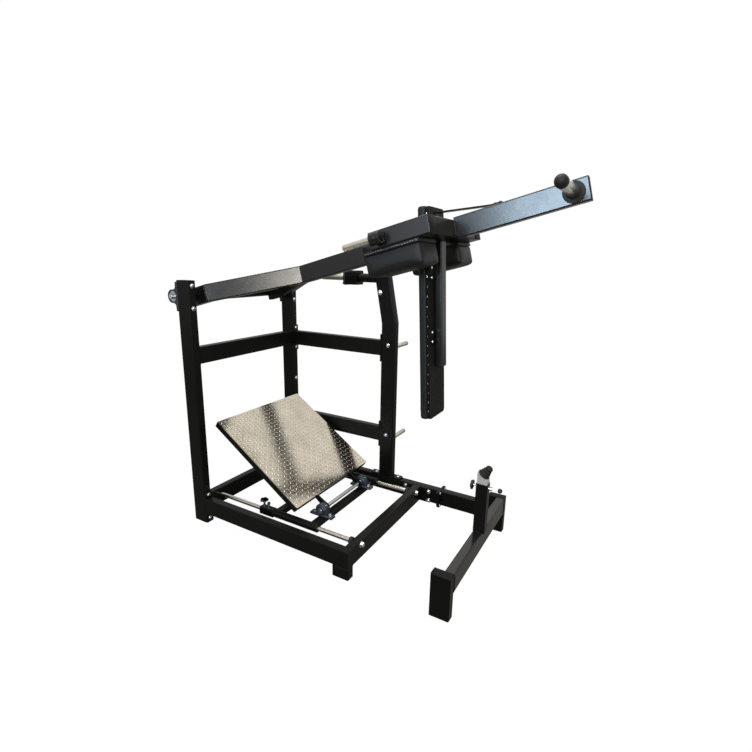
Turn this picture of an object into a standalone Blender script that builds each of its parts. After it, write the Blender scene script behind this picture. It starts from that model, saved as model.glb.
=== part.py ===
"""Pendulum squat machine, metres, +Z up.

The origin is the centre of the near left post's foot, on the floor. +X runs along the machine from
the pivot end to the tail, and +Y runs from the near side to the far side.
"""
import math

import bmesh
import bpy
from mathutils import Matrix, Vector

for old in list(bpy.data.objects):
    bpy.data.objects.remove(old, do_unlink=True)

# Fits
GAP = 0.0003
RUN = 0.0006

# Steel tube
TUBE_H = 0.100
TUBE_B = 0.050
TUBE_R = 0.006
FLANGE_T = 0.008

# Frame
SPAN_Y = 0.866
POST_H = 1.474
FAR_POST_X = 0.834
FAR_POST_TOP = 1.560
KINK_Z = 1.213
KINK_LEAN = math.radians(10.7)
UPPER_BEAM_Z = 1.050
LOWER_BEAM_Z = 0.461
LEFT_RAIL_Z = 0.130
RAIL_Z = 0.112
NEAR_RAIL_END = 1.104
SPLICE_X = 1.240
END_TUBE_Z = 0.172
END_FOOT_X = 1.602
END_TUBE_X = END_FOOT_X + TUBE_H / 2 - TUBE_B / 2
FLANGE_REACH = 0.040
SPLICE_B = 0.110
CROSS_PLATE_L = 0.200
FOOT_FLANGE_L = 0.230
PEG_D = 0.028
PEG_L = 0.220
PEG_LOW_Z = 0.412
PEG_HIGH_Z = 1.050

# Pivot
PIVOT_X = -0.096
PIVOT_Z = 1.384
SHAFT_D = 0.030
PIVOT_BASE_L = 0.165
PIVOT_BASE_W = 0.042
PIVOT_BASE_T = 0.016
BEARING_D = 0.062
TORQUE_D = 0.076
TORQUE_END = 0.038
TORQUE_L = SPAN_Y - 2 * TORQUE_END
TORQUE_BORE_CLEAR = 0.0003

# Pendulum, measured along its own pitched beam from the pivot
PITCH = math.radians(14.5)
BEAM_T = -0.020
YOKE_S = 0.155
YOKE_IN = 0.104
YOKE_OUT = SPAN_Y / 2 - YOKE_IN
MERGE_S = 0.558
BEAM_BACK = 0.045
FORK_S = 1.130
FORK_ROOT = 0.055
FORK_SIDE = 0.075
BOX_S0 = 1.260
BOX_S1 = 1.555
BOX_OUT = 0.328
BOX_B = 0.080
BOX_H = 0.080
TAIL_S = 2.139
STRAP_S = 1.735
STRAP_TOP = 0.030
STRAP_LOW = 0.085
STRAP_LAND = 0.050
STRAP_B = 0.040
STRAP_T = 0.006

# Pads
PAD_LEAN = math.radians(3.3)
BACK_PAD_W = 0.200
BACK_PAD_L = 1.050
BACK_PAD_T = 0.034
BOARD_T = 0.015
BACK_PAD_TOP = 0.090
COLUMN_W = 0.060
COLUMN_D = 0.040
COLUMN_L = 0.610
SHOULDER_L = 0.290
SHOULDER_W = 0.190
SHOULDER_H = 0.112
SHOULDER_AHEAD = 0.050
PAD_CROWN = 0.006

# Hand grips and weight horn
GRIP_D = 0.030
GRIP_L = 0.205
GRIP_REACH = 0.035
CLAMP_D = 0.056
CLAMP_S = 0.055
CLAMP_L = 0.050
NECK_L = 0.040
NECK_H = 0.036
NECK_REACH = 0.024
HORN_D = 0.048
HORN_L = 0.300
HORN_S = 2.080
HORN_BALL_D = 0.054
HORN_COLLAR_D = 0.090

# Foot carriage
ROD_D = 0.025
ROD_IN = 0.100
ROD_Z = 0.145
CARRIAGE_FRONT_X = 0.510
CARRIAGE_REAR_X = 0.772
CARRIAGE_BAR_B = 0.050
CARRIAGE_BAR_H = 0.030
CARRIAGE_BAR_Z = 0.135
SLEEVE_X0 = 0.480
SLEEVE_X1 = 0.822
SLEEVE_D = 0.046
LOCK_L = 0.075
LOCK_B = 0.046
LOCK_KNOB_BACK = 0.055
LOCK_PIN_BACK = 0.020
SPINDLE_D = 0.012
LOCK_PIN_D = 0.009
COLLAR_D = 0.042
COLLAR_L = 0.020

# Foot plate
HINGE_X = 0.765
HINGE_Z = 0.190
HINGE_D = 0.022
PLATE_TILT = math.radians(33.4)
PLATE_W = 0.740
PLATE_L = 0.716
PLATE_TREAD_T = 0.004
PLATE_FRAME_H = 0.034
PLATE_RIM = 0.030
PLATE_LIFT = 0.016
PLATE_SET = 0.084
LUG_IN = 0.175
LUG_T = 0.010
LUG_R = 0.020
RIB_X = -0.490
RIB_W = 0.036
PROP_DROP = 0.042
PROP_CHEEK_Y = 0.024
PROP_CHEEK_T = 0.008
PROP_PIN_D = 0.012
PROP_W = 0.030
PROP_T = 0.016
PROP_FOOT_X = 0.510
PROP_FOOT_W = 0.120
PROP_FOOT_D = 0.022
PILLOW_IN = 0.215
PILLOW_L = 0.130
PILLOW_W = 0.032
PILLOW_T = 0.014
PILLOW_HEAD = 0.058

# Bumper stop
STOP_B = 0.062
STOP_T = 0.050
STOP_WALL = 0.003
STOP_TOP = 0.497
STOP_TILT = math.radians(34.0)
STOP_OUT = 0.045
STOP_IN = 0.140
STOP_KNOB_DOWN = 0.022
STOP_BARREL_D = 0.020
STOP_BARREL_L = 0.016
STOP_PIN_D = 0.009

# Safety lever
LEVER_Z = 1.490
LEVER_D = 0.026
LEVER_TIP_X = 0.300
LEVER_SLEEVE_D = 0.056
LEVER_SLEEVE_X = 0.592
LEVER_BLOCK_X = 0.497
LEVER_BLOCK_D = 0.070
LEVER_BLOCK_EDGE = 0.008

MID_Y = SPAN_Y / 2
RAIL_BOTTOM = RAIL_Z - TUBE_H / 2
RAIL_TOP = RAIL_Z + TUBE_H / 2
POST_FACE = TUBE_H / 2
SIDES = (-1, 1)


# Materials
def material(name, colour, roughness, metallic):
    mat = bpy.data.materials.get(name)
    if mat is None:
        mat = bpy.data.materials.new(name)
        mat.use_nodes = True
        shader = mat.node_tree.nodes["Principled BSDF"]
        shader.inputs["Base Color"].default_value = (*colour, 1.0)
        shader.inputs["Roughness"].default_value = roughness
        shader.inputs["Metallic"].default_value = metallic
    return mat


def coat():
    return material("black_powder_coat", (0.018, 0.019, 0.018), 0.32, 0.0)


def zinc():
    return material("zinc_plate", (0.62, 0.63, 0.64), 0.28, 1.0)


def chrome():
    return material("polished_rod", (0.74, 0.72, 0.69), 0.14, 1.0)


def cast():
    return material("blue_grey_casting", (0.16, 0.20, 0.25), 0.45, 0.4)


def vinyl():
    return material("black_vinyl", (0.030, 0.031, 0.032), 0.48, 0.0)


def plastic():
    return material("black_plastic", (0.012, 0.012, 0.013), 0.40, 0.0)


def rubber():
    return material("grey_rubber", (0.060, 0.060, 0.062), 0.75, 0.0)


def tread():
    return material("tread_plate", (0.60, 0.57, 0.50), 0.38, 0.9)


def board():
    return material("pad_board", (0.050, 0.045, 0.042), 0.70, 0.0)


# Building blocks
def finish(name, bm, mat, matrix=None, smooth_angle=35.0):
    bmesh.ops.remove_doubles(bm, verts=bm.verts, dist=1e-6)
    bmesh.ops.recalc_face_normals(bm, faces=bm.faces)
    mesh = bpy.data.meshes.new(name)
    bm.to_mesh(mesh)
    bm.free()
    mesh.materials.append(mat)
    mesh.shade_smooth()
    mesh.set_sharp_from_angle(angle=math.radians(smooth_angle))
    obj = bpy.data.objects.new(name, mesh)
    bpy.context.scene.collection.objects.link(obj)
    if matrix is not None:
        obj.matrix_world = matrix
    return obj


def rounded_rectangle(width, height, radius, steps=3):
    points = []
    corners = ((1, 1, 0), (-1, 1, 90), (-1, -1, 180), (1, -1, 270))
    for sx, sy, start in corners:
        cx = sx * (width / 2 - radius)
        cy = sy * (height / 2 - radius)
        for step in range(steps + 1):
            angle = math.radians(start + 90 * step / steps)
            points.append((cx + radius * math.cos(angle), cy + radius * math.sin(angle)))
    return points


def circle(diameter, count):
    half = diameter / 2
    turns = [2 * math.pi * i / count for i in range(count)]
    return [(half * math.cos(a), half * math.sin(a)) for a in turns]


def bridge(bm, first, second):
    count = len(first)
    for i in range(count):
        j = (i + 1) % count
        bm.faces.new((first[i], first[j], second[j], second[i]))


def ring_at(bm, points):
    return [bm.verts.new(point) for point in points]


def add_loft(bm, rings):
    """Close a run of rings with flat ends."""
    made = [ring_at(bm, ring) for ring in rings]
    for first, second in zip(made, made[1:]):
        bridge(bm, first, second)
    bm.faces.new(list(reversed(made[0])))
    bm.faces.new(made[-1])


def add_sleeve(bm, outer, inner):
    """Join outer and inner rings into one pipe with open ends."""
    outside = [ring_at(bm, ring) for ring in outer]
    inside = [ring_at(bm, ring) for ring in inner]
    for first, second in zip(outside, outside[1:]):
        bridge(bm, first, second)
    for first, second in zip(inside, inside[1:]):
        bridge(bm, second, first)
    bridge(bm, inside[0], outside[0])
    bridge(bm, outside[-1], inside[-1])


def section(profile, centre, run, up, plane_point, plane_normal):
    """Slide a profile along its run on to a cutting plane."""
    side = up.cross(run).normalized()
    lift = run.cross(side).normalized()
    ring = []
    for a, b in profile:
        point = centre + side * a + lift * b
        slide = (plane_point - point).dot(plane_normal) / run.dot(plane_normal)
        ring.append(point + run * slide)
    return ring


def swept_rings(profile, path, up, start_normal=None, end_normal=None):
    points = [Vector(p) for p in path]
    runs = [(b - a).normalized() for a, b in zip(points, points[1:])]
    rings = []
    for i, point in enumerate(points):
        run = runs[min(i, len(runs) - 1)]
        if i == 0:
            normal = Vector(start_normal) if start_normal else run
        elif i == len(points) - 1:
            run = runs[-1]
            normal = Vector(end_normal) if end_normal else run
        else:
            run = runs[i - 1]
            normal = (runs[i - 1] + runs[i]).normalized()
        rings.append(section(profile, point, run, Vector(up), point, normal))
    return rings


def tube(name, path, up, width, height, mat, matrix=None, ends=(None, None), radius=TUBE_R):
    bm = bmesh.new()
    profile = rounded_rectangle(width, height, radius)
    add_loft(bm, swept_rings(profile, path, up, *ends))
    return finish(name, bm, mat, matrix)


def add_bar(bm, start, end, diameter, count=20):
    start = Vector(start)
    end = Vector(end)
    run = (end - start).normalized()
    up = Vector((0, 0, 1)) if abs(run.z) < 0.9 else Vector((1, 0, 0))
    add_loft(bm, swept_rings(circle(diameter, count), (start, end), up))


def add_turned(bm, base, run, outline, count=16):
    """Revolve (radius, distance) pairs round an axis; the two ends are flat faces."""
    base = Vector(base)
    run = Vector(run).normalized()
    up = Vector((0, 0, 1)) if abs(run.z) < 0.9 else Vector((1, 0, 0))
    rings = []
    for radius, distance in outline:
        centre = base + run * distance
        rings.append(section(circle(2 * radius, count), centre, run, up, centre, run))
    add_loft(bm, rings)


def add_block(bm, centre, size, radius=0.0, axis=2):
    """A block whose edges along one axis are rounded."""
    axes = [0, 1, 2]
    axes.remove(axis)
    a, b = axes
    if radius > 0:
        profile = rounded_rectangle(size[a], size[b], radius)
    else:
        half_a = size[a] / 2
        half_b = size[b] / 2
        profile = [(half_a, half_b), (-half_a, half_b), (-half_a, -half_b), (half_a, -half_b)]
    rings = []
    for end in SIDES:
        ring = []
        for pa, pb in profile:
            point = Vector(centre)
            point[a] += pa
            point[b] += pb
            point[axis] += end * size[axis] / 2
            ring.append(point)
        rings.append(ring)
    add_loft(bm, rings)


def block(name, centre, size, mat, matrix=None, radius=0.0, axis=2):
    bm = bmesh.new()
    add_block(bm, centre, size, radius, axis)
    return finish(name, bm, mat, matrix)


def combine(base, others, operation="UNION"):
    """Fuse helpers with an object, or cut them out of it, and keep the helpers hidden."""
    for other in others:
        step = base.modifiers.new(other.name, "BOOLEAN")
        step.operation = operation
        step.solver = "EXACT"
        step.object = other
        other.hide_render = True
        other.display_type = "WIRE"
    return base


def helper(name, build, *values, matrix=None):
    bm = bmesh.new()
    build(bm, *values)
    return finish(name, bm, coat(), matrix)


# Fixed frame
def upright(name, x, y, z0, z1):
    return tube(name, ((x, y, z0), (x, y, z1)), (0, 1, 0), TUBE_H, TUBE_B, coat())


def along_x(name, y, z, x0, x1):
    return tube(name, ((x0, y, z), (x1, y, z)), (0, 0, 1), TUBE_B, TUBE_H, coat())


def along_y(name, x, z, y0, y1):
    return tube(name, ((x, y0, z), (x, y1, z)), (0, 0, 1), TUBE_B, TUBE_H, coat())


def plate(name, centre, size, radius, axis):
    """A welded end plate, to be fused with its tube."""
    return helper(name, add_block, centre, size, radius, axis)


def far_right_post():
    """The far right post leans in above its kink and carries the pegs and the lever's sleeve."""
    rise = FAR_POST_TOP - KINK_Z
    path = (
        (FAR_POST_X, SPAN_Y, RAIL_TOP + GAP),
        (FAR_POST_X, SPAN_Y, KINK_Z),
        (FAR_POST_X - rise * math.tan(KINK_LEAN), SPAN_Y, FAR_POST_TOP),
    )
    post = tube("far_right_post", path, (0, 1, 0), TUBE_H, TUBE_B, coat(), ends=(None, (0, 0, 1)))
    z = RAIL_TOP + GAP + FLANGE_T / 2
    size = (FOOT_FLANGE_L, TUBE_B - GAP, FLANGE_T)
    foot = plate("post_foot_plate", (FAR_POST_X, SPAN_Y, z), size, 0.010, 2)
    pegs = []
    half = PEG_D / 2
    root = -TUBE_B / 4
    outline = (
        (half, root),
        (half, TUBE_B / 2 + PEG_L - 0.004),
        (half * 0.7, TUBE_B / 2 + PEG_L),
    )
    for label, z in (("low", PEG_LOW_Z), ("high", PEG_HIGH_Z)):
        base = (FAR_POST_X, SPAN_Y, z)
        pegs.append(helper(label + "_peg", add_turned, base, (0, 1, 0), outline, 16))
    combine(post, [foot, *pegs])


def frame_left():
    """The two left posts, their ties and the far side's upper beams."""
    upright("near_left_post", 0, 0, 0, POST_H)
    upright("far_left_post", 0, SPAN_Y, 0, POST_H)
    left_x = POST_FACE - TUBE_B / 2
    inner = TUBE_B / 2 + GAP
    for name, z in (("upper_left_beam", UPPER_BEAM_Z), ("base_left_rail", LEFT_RAIL_Z)):
        along_y(name, left_x, z, inner, SPAN_Y - inner)
    x0 = POST_FACE + GAP
    x1 = FAR_POST_X - POST_FACE - GAP
    size = (FLANGE_T, TUBE_B, TUBE_H + 2 * FLANGE_REACH)
    for name, z in (("upper_far_beam", UPPER_BEAM_Z), ("lower_far_beam", LOWER_BEAM_Z)):
        beam = along_x(name, SPAN_Y, z, x0 + FLANGE_T / 2, x1 - FLANGE_T / 2)
        ends = []
        for label, x in (("_start", x0 + FLANGE_T / 2), ("_end", x1 - FLANGE_T / 2)):
            ends.append(plate(name + label, (x, SPAN_Y, z), size, 0.004, 0))
        combine(beam, ends)


def base_rails():
    """The near rail with its foot, the cross rail, and the far rail in two bolted lengths."""
    x0 = POST_FACE + GAP
    high = RAIL_TOP + FLANGE_REACH
    size = (FLANGE_T, TUBE_B, high)
    centre = [x0 + FLANGE_T / 2, 0, high / 2]
    near = along_x("near_rail", 0, RAIL_Z, x0 + FLANGE_T / 2, NEAR_RAIL_END)
    near_plate = plate("near_rail_plate", centre, size, 0.004, 0)
    foot = upright("near_rail_foot", NEAR_RAIL_END - POST_FACE, 0, 0, RAIL_BOTTOM + 0.020)
    combine(near, [near_plate, foot])
    centre[1] = SPAN_Y
    splice = SPLICE_X - FLANGE_T / 2 - GAP / 2
    far = along_x("far_rail_front", SPAN_Y, RAIL_Z, x0 + FLANGE_T / 2, splice)
    far_plate = plate("far_rail_plate", centre, size, 0.004, 0)
    joint = (FLANGE_T, SPLICE_B, SPLICE_B)
    first = plate("splice_front", (splice, SPAN_Y, RAIL_Z), joint, 0.008, 0)
    combine(far, [far_plate, first])
    splice += FLANGE_T + GAP
    rear = along_x("far_rail_rear", SPAN_Y, RAIL_Z, splice, END_FOOT_X - POST_FACE - GAP)
    second = plate("splice_rear", (splice, SPAN_Y, RAIL_Z), joint, 0.008, 0)
    combine(rear, [second])
    x = NEAR_RAIL_END - TUBE_B / 2
    y0 = TUBE_B / 2 + GAP
    y1 = SPAN_Y - TUBE_B / 2 - GAP - FLANGE_T / 2
    cross = along_y("cross_rail", x, RAIL_Z, y0, y1)
    side = plate("cross_rail_plate", (x, y1, RAIL_Z), (CROSS_PLATE_L, FLANGE_T, 0.096), 0.008, 1)
    combine(cross, [side])


def rear_foot():
    """Two upright feet and the tube between them, which carries the stop post."""
    top = END_TUBE_Z + TUBE_H / 2
    upright("end_near_foot", END_FOOT_X, 0, 0, top)
    upright("end_far_foot", END_FOOT_X, SPAN_Y, 0, top)
    inner = TUBE_B / 2 + GAP
    along_y("end_cross_tube", END_TUBE_X, END_TUBE_Z, inner, SPAN_Y - inner)


# Pivot
def pillow_outline(length, base_t, head_d, centre_h):
    """Side outline of a pillow block: a flat foot that rises into a round head."""
    half = length / 2
    points = [(-half, 0), (half, 0), (half, base_t)]
    shoulder = head_d * 0.62
    points.append((shoulder, base_t + 0.003))
    radius = head_d / 2
    steps = 10
    for i in range(steps + 1):
        angle = math.radians(-18 + 216 * i / steps)
        points.append((radius * math.cos(angle), centre_h + radius * math.sin(angle)))
    points.append((-shoulder, base_t + 0.003))
    points.append((-half, base_t))
    return points


def housing(name, origin, along, out, size, base_t, head_d, centre_h, bore):
    """Extrude the outline along the shaft, which is +Y, and bore the bearing seat."""
    length, width = size
    origin = Vector(origin)
    rings = []
    for end in SIDES:
        offset = origin + Vector((0, end * width / 2, 0))
        outline = pillow_outline(length, base_t, head_d, centre_h)
        rings.append([offset + Vector(along) * a + Vector(out) * b for a, b in outline])
    bm = bmesh.new()
    add_loft(bm, rings)
    body = finish(name, bm, cast())
    centre = origin + Vector(out) * centre_h
    reach = Vector((0, width, 0))
    cutter = helper(name + "_bore", add_bar, centre - reach, centre + reach, bore, 28)
    combine(body, [cutter], "DIFFERENCE")


def pivot_housings():
    centre_h = -POST_FACE - PIVOT_X - GAP
    bore = BEARING_D + 2 * GAP
    head = BEARING_D + 0.016
    for name, y in (("near_pivot_housing", 0.0), ("far_pivot_housing", SPAN_Y)):
        origin = (-POST_FACE - GAP, y, PIVOT_Z)
        size = (PIVOT_BASE_L, PIVOT_BASE_W)
        housing(name, origin, (0, 0, 1), (-1, 0, 0), size, PIVOT_BASE_T, head, centre_h, bore)


def add_ring(bm, centre, run, outer_d, inner_d, width, count=24):
    centre = Vector(centre)
    run = Vector(run)
    up = Vector((0, 0, 1)) if abs(run.z) < 0.9 else Vector((1, 0, 0))
    outer = []
    inner = []
    for end in SIDES:
        at = centre + run * (end * width / 2)
        outer.append(section(circle(outer_d, count), at, run, up, at, run))
        inner.append(section(circle(inner_d, count), at, run, up, at, run))
    add_sleeve(bm, outer, inner)


def pivot_bearings():
    for name, y in (("near_pivot_bearing", 0.0), ("far_pivot_bearing", SPAN_Y)):
        bm = bmesh.new()
        centre = (PIVOT_X, y, PIVOT_Z)
        add_ring(bm, centre, (0, 1, 0), BEARING_D, SHAFT_D + 2 * RUN, 0.034)
        finish(name, bm, zinc())


# Pendulum: built in its own frame, origin at the pivot, +X along the beam
PENDULUM = Matrix.Translation((PIVOT_X, MID_Y, PIVOT_Z)) @ Matrix.Rotation(-PITCH, 4, "Y")


def pivot_shaft():
    bm = bmesh.new()
    half = SPAN_Y / 2 + 0.034
    end = SHAFT_D / 2
    outline = ((end - 0.002, -half), (end, 0.002 - half), (end, half - 0.002), (end - 0.002, half))
    add_turned(bm, (0, 0, 0), (0, 1, 0), outline, 24)
    return finish("pivot_shaft", bm, zinc(), PENDULUM)


def torque_tube():
    bm = bmesh.new()
    bore = SHAFT_D + 2 * TORQUE_BORE_CLEAR
    add_ring(bm, (0, 0, 0), (0, 1, 0), TORQUE_D, bore, TORQUE_L, 28)
    return finish("torque_tube", bm, coat(), PENDULUM)


def yoke_arms():
    """Each arm is coped to the torque tube, runs straight, then turns in to meet the beam."""
    half = TORQUE_L / 2 + 0.020
    cope = helper("yoke_cope", add_bar, (0, -half, 0), (0, half, 0), TORQUE_D + 2 * GAP, 28,
                  matrix=PENDULUM)
    for name, side in (("near_yoke_arm", -1), ("far_yoke_arm", 1)):
        end_y = side * (TUBE_B / 2 + GAP)
        path = (
            (0.010, side * YOKE_OUT, BEAM_T),
            (YOKE_S, side * YOKE_OUT, BEAM_T),
            (MERGE_S, end_y, BEAM_T),
        )
        ends = ((1, 0, 0), (0, 1, 0))
        arm = tube(name, path, (0, 0, 1), TUBE_B, TUBE_H, coat(), PENDULUM, ends)
        combine(arm, [cope], "DIFFERENCE")


def beam_pieces():
    width, height = TUBE_B, TUBE_H
    path = ((MERGE_S - BEAM_BACK, 0, BEAM_T), (FORK_S, 0, BEAM_T))
    tube("front_beam", path, (0, 0, 1), width, height, coat(), PENDULUM)
    start = BOX_S1 + GAP
    path = ((start, 0, BEAM_T), (TAIL_S, 0, BEAM_T))
    tube("tail_beam", path, (0, 0, 1), width, height, coat(), PENDULUM)


def head_frame():
    """Two side boxes, the fork arms that carry them and the tube that ties them behind the pad."""
    centre_out = BOX_OUT - BOX_B / 2
    inner = BOX_OUT - BOX_B
    clamp_s = BOX_S0 + CLAMP_S
    for name, side in (("near_side_box", -1), ("far_side_box", 1)):
        y = side * centre_out
        path = ((BOX_S0, y, BEAM_T), (BOX_S1, y, BEAM_T))
        box = tube(name, path, (0, 0, 1), BOX_B, BOX_H, coat(), PENDULUM)
        y = side * (BOX_OUT + GRIP_REACH)
        clamp = helper(name + "_clamp", add_bar, (clamp_s - CLAMP_L / 2, y, BEAM_T),
                       (clamp_s + CLAMP_L / 2, y, BEAM_T), CLAMP_D, 24, matrix=PENDULUM)
        neck = helper(name + "_neck", add_block, (clamp_s, side * BOX_OUT, BEAM_T),
                      (NECK_L, NECK_REACH, NECK_H), matrix=PENDULUM)
        bore = helper(name + "_bore", add_bar, (clamp_s - CLAMP_L, y, BEAM_T),
                      (clamp_s + CLAMP_L, y, BEAM_T), GRIP_D + 2 * GAP, 20, matrix=PENDULUM)
        combine(box, [clamp, neck])
        combine(box, [bore], "DIFFERENCE")
    for name, side in (("near_fork_arm", -1), ("far_fork_arm", 1)):
        path = (
            (FORK_S - FORK_ROOT, side * (TUBE_B / 2 + GAP), BEAM_T),
            (BOX_S0 + FORK_SIDE, side * (inner - GAP), BEAM_T),
        )
        ends = ((0, 1, 0), (0, 1, 0))
        tube(name, path, (0, 0, 1), TUBE_B, BOX_H, coat(), PENDULUM, ends)
    s = BOX_S1 - TUBE_H / 2
    path = ((s, -inner + GAP, BEAM_T), (s, inner - GAP, BEAM_T))
    tube("rear_cross_tube", path, (0, 0, 1), TUBE_H, BOX_H, coat(), PENDULUM)


# Pads: one slanted frame whose origin is where the board meets the rear cross tube
PAD_ANCHOR_S = BOX_S1 - TUBE_H - GAP
PAD_FRAME = (
    PENDULUM
    @ Matrix.Translation((PAD_ANCHOR_S, 0, BEAM_T + BOX_H / 2))
    @ Matrix.Rotation(PITCH - PAD_LEAN, 4, "Y")
)


def cushion(name, centre, size, crown, matrix):
    """A pad whose edges are drawn in and whose outer face is crowned; +Z is the outer face."""
    length, width, thick = size
    bm = bmesh.new()
    profile = rounded_rectangle(length, width, 0.018, 3)
    levels = ((0.0, 0.985), (0.25, 1.0), (0.65, 1.0), (0.88, 0.975), (1.0, 0.90))
    rings = []
    for height, scale in levels:
        inset = (1 - scale) * width / 2
        ring = []
        for a, b in profile:
            pa = a - math.copysign(inset, a)
            pb = b - math.copysign(inset, b)
            ring.append(Vector(centre) + Vector((pa, pb, height * thick)))
        rings.append(ring)
    top = Vector(centre) + Vector((0, 0, thick + crown))
    made = [ring_at(bm, ring) for ring in rings]
    for first, second in zip(made, made[1:]):
        bridge(bm, first, second)
    bm.faces.new(list(reversed(made[0])))
    middle = []
    for vert in made[-1]:
        point = top.copy()
        point.x += (vert.co.x - top.x) * 0.70
        point.y += (vert.co.y - top.y) * 0.55
        middle.append(point)
    crown_ring = ring_at(bm, middle)
    bridge(bm, made[-1], crown_ring)
    bm.faces.new(crown_ring)
    return finish(name, bm, vinyl(), matrix, 50.0)


def back_pad():
    """The board lies on the rear cross tube and the pad is on its front."""
    turn = Matrix.Rotation(math.radians(-90), 4, "Y")
    mid_z = BACK_PAD_TOP - BACK_PAD_L / 2
    front = -BOARD_T - 2 * GAP
    matrix = PAD_FRAME @ Matrix.Translation((front, 0, mid_z)) @ turn
    cushion("back_pad", (0, 0, 0), (BACK_PAD_L, BACK_PAD_W, BACK_PAD_T), PAD_CROWN, matrix)


def back_pad_board():
    mid_z = BACK_PAD_TOP - BACK_PAD_L / 2
    size = (BOARD_T, BACK_PAD_W - 0.008, BACK_PAD_L - 0.012)
    centre = (-BOARD_T / 2 - GAP, 0, mid_z)
    block("back_pad_board", centre, size, board(), PAD_FRAME, 0.016, 0)


def shoulder_pads():
    turn = Matrix.Rotation(math.radians(180), 4, "X")
    s = BOX_S0 - SHOULDER_AHEAD + SHOULDER_L / 2
    z = BEAM_T - BOX_H / 2 - GAP
    for name, side in (("near_shoulder_pad", -1), ("far_shoulder_pad", 1)):
        y = side * (BOX_OUT - SHOULDER_W / 2)
        matrix = PENDULUM @ Matrix.Translation((s, y, z)) @ turn
        cushion(name, (0, 0, 0), (SHOULDER_L, SHOULDER_W, SHOULDER_H), PAD_CROWN, matrix)


def pad_column():
    """The post behind the back pad hangs from the rear cross tube."""
    slope = PITCH - PAD_LEAN
    x = COLUMN_D / 2 + GAP
    top = (x * math.sin(slope) - BOX_H - 2 * GAP) / math.cos(slope)
    path = ((x, 0, top), (x, 0, top - COLUMN_L))
    start = (-math.sin(slope), 0, math.cos(slope))
    tube("pad_column", path, (0, 1, 0), COLUMN_D, COLUMN_W, coat(), PAD_FRAME, (start, None))


def strap_brace():
    """A flat strap from the top of the pad board down to the tail beam."""
    to_pendulum = PENDULUM.inverted() @ PAD_FRAME
    head = to_pendulum @ Vector((GAP + STRAP_T / 2, 0, BACK_PAD_TOP - STRAP_TOP))
    foot = Vector((STRAP_S, 0, BEAM_T + TUBE_H / 2 + GAP + STRAP_T / 2))
    lower = to_pendulum @ Vector((GAP + STRAP_T / 2, 0, BACK_PAD_TOP - STRAP_LOW))
    path = (lower, head, foot, foot + Vector((STRAP_LAND, 0, 0)))
    tube("strap_brace", path, (0, 1, 0), STRAP_T, STRAP_B, coat(), PENDULUM, radius=0.002)


def hand_grips():
    """Steel grips that point to the pivot, each held in the clamp on its side box."""
    half = GRIP_D / 2
    outline = ((half * 0.7, 0), (half, 0.005), (half, GRIP_L))
    for name, side in (("near_hand_grip", -1), ("far_hand_grip", 1)):
        bm = bmesh.new()
        start = (BOX_S0 + CLAMP_S + CLAMP_L / 2 + 0.005 - GRIP_L, side * (BOX_OUT + GRIP_REACH), BEAM_T)
        add_turned(bm, start, (1, 0, 0), outline, 20)
        finish(name, bm, chrome(), PENDULUM)


def weight_horn():
    bm = bmesh.new()
    half = HORN_D / 2
    collar = HORN_COLLAR_D / 2
    ball = HORN_BALL_D / 2
    outline = [(collar, 0), (collar, 0.008), (half, 0.0081), (half, HORN_L)]
    for degrees in (35, 60, 80):
        angle = math.radians(degrees)
        outline.append((ball * math.cos(angle), HORN_L + 0.004 + ball * math.sin(angle)))
    base = (HORN_S, -TUBE_B / 2 - GAP, BEAM_T)
    add_turned(bm, base, (0, -1, 0), outline, 24)
    return finish("weight_horn", bm, chrome(), PENDULUM)


# Foot carriage
def rod_y(side):
    return MID_Y + side * (MID_Y - ROD_IN)


def guide_rods():
    """Each rod has its collar in front of the cross rail."""
    x0 = POST_FACE + GAP
    length = NEAR_RAIL_END - TUBE_B - GAP - x0
    half = ROD_D / 2
    collar = COLLAR_D / 2
    neck = length - COLLAR_L
    outline = ((half, 0), (half, neck), (collar, neck + 0.0001), (collar, length))
    for name, side in (("near_guide_rod", -1), ("far_guide_rod", 1)):
        bm = bmesh.new()
        add_turned(bm, (x0, rod_y(side), ROD_Z), (1, 0, 0), outline, 20)
        finish(name, bm, chrome())


def carriage_bars():
    reach = MID_Y - ROD_IN - SLEEVE_D / 2 - GAP
    size = (CARRIAGE_BAR_B, 2 * reach, CARRIAGE_BAR_H)
    for name, x in (("carriage_front_bar", CARRIAGE_FRONT_X), ("carriage_rear_bar", CARRIAGE_REAR_X)):
        block(name, (x, MID_Y, CARRIAGE_BAR_Z), size, coat(), radius=0.004, axis=1)


def carriage_sleeves():
    """Each sleeve is bored for its rod; the near one has a square lock block in front."""
    for name, side in (("near_carriage_sleeve", -1), ("far_carriage_sleeve", 1)):
        y = rod_y(side)
        bm = bmesh.new()
        add_bar(bm, (SLEEVE_X0, y, ROD_Z), (SLEEVE_X1, y, ROD_Z), SLEEVE_D, 24)
        sleeve = finish(name, bm, coat())
        holes = []
        if side < 0:
            length = LOCK_L + LOCK_B / 2
            centre = (SLEEVE_X0 - LOCK_L + length / 2, y, ROD_Z)
            size = (length, LOCK_B + RUN, LOCK_B + RUN)
            lock = helper("lock_block", add_block, centre, size, 0.008, 0)
            combine(sleeve, [lock])
            for label, back, bore in (
                ("spindle_hole", LOCK_KNOB_BACK, SPINDLE_D),
                ("pin_hole", LOCK_PIN_BACK, LOCK_PIN_D),
            ):
                foot = Vector((SLEEVE_X0 - back, y, ROD_Z))
                top = foot + Vector((0, 0, LOCK_B))
                holes.append(helper(label, add_bar, foot, top, bore + 2 * RUN, 20))
        start = (SLEEVE_X0 - 2 * LOCK_L, y, ROD_Z)
        end = (SLEEVE_X1 + LOCK_L, y, ROD_Z)
        holes.append(helper(name + "_bore", add_bar, start, end, ROD_D + 2 * RUN, 24))
        combine(sleeve, holes, "DIFFERENCE")


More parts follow.
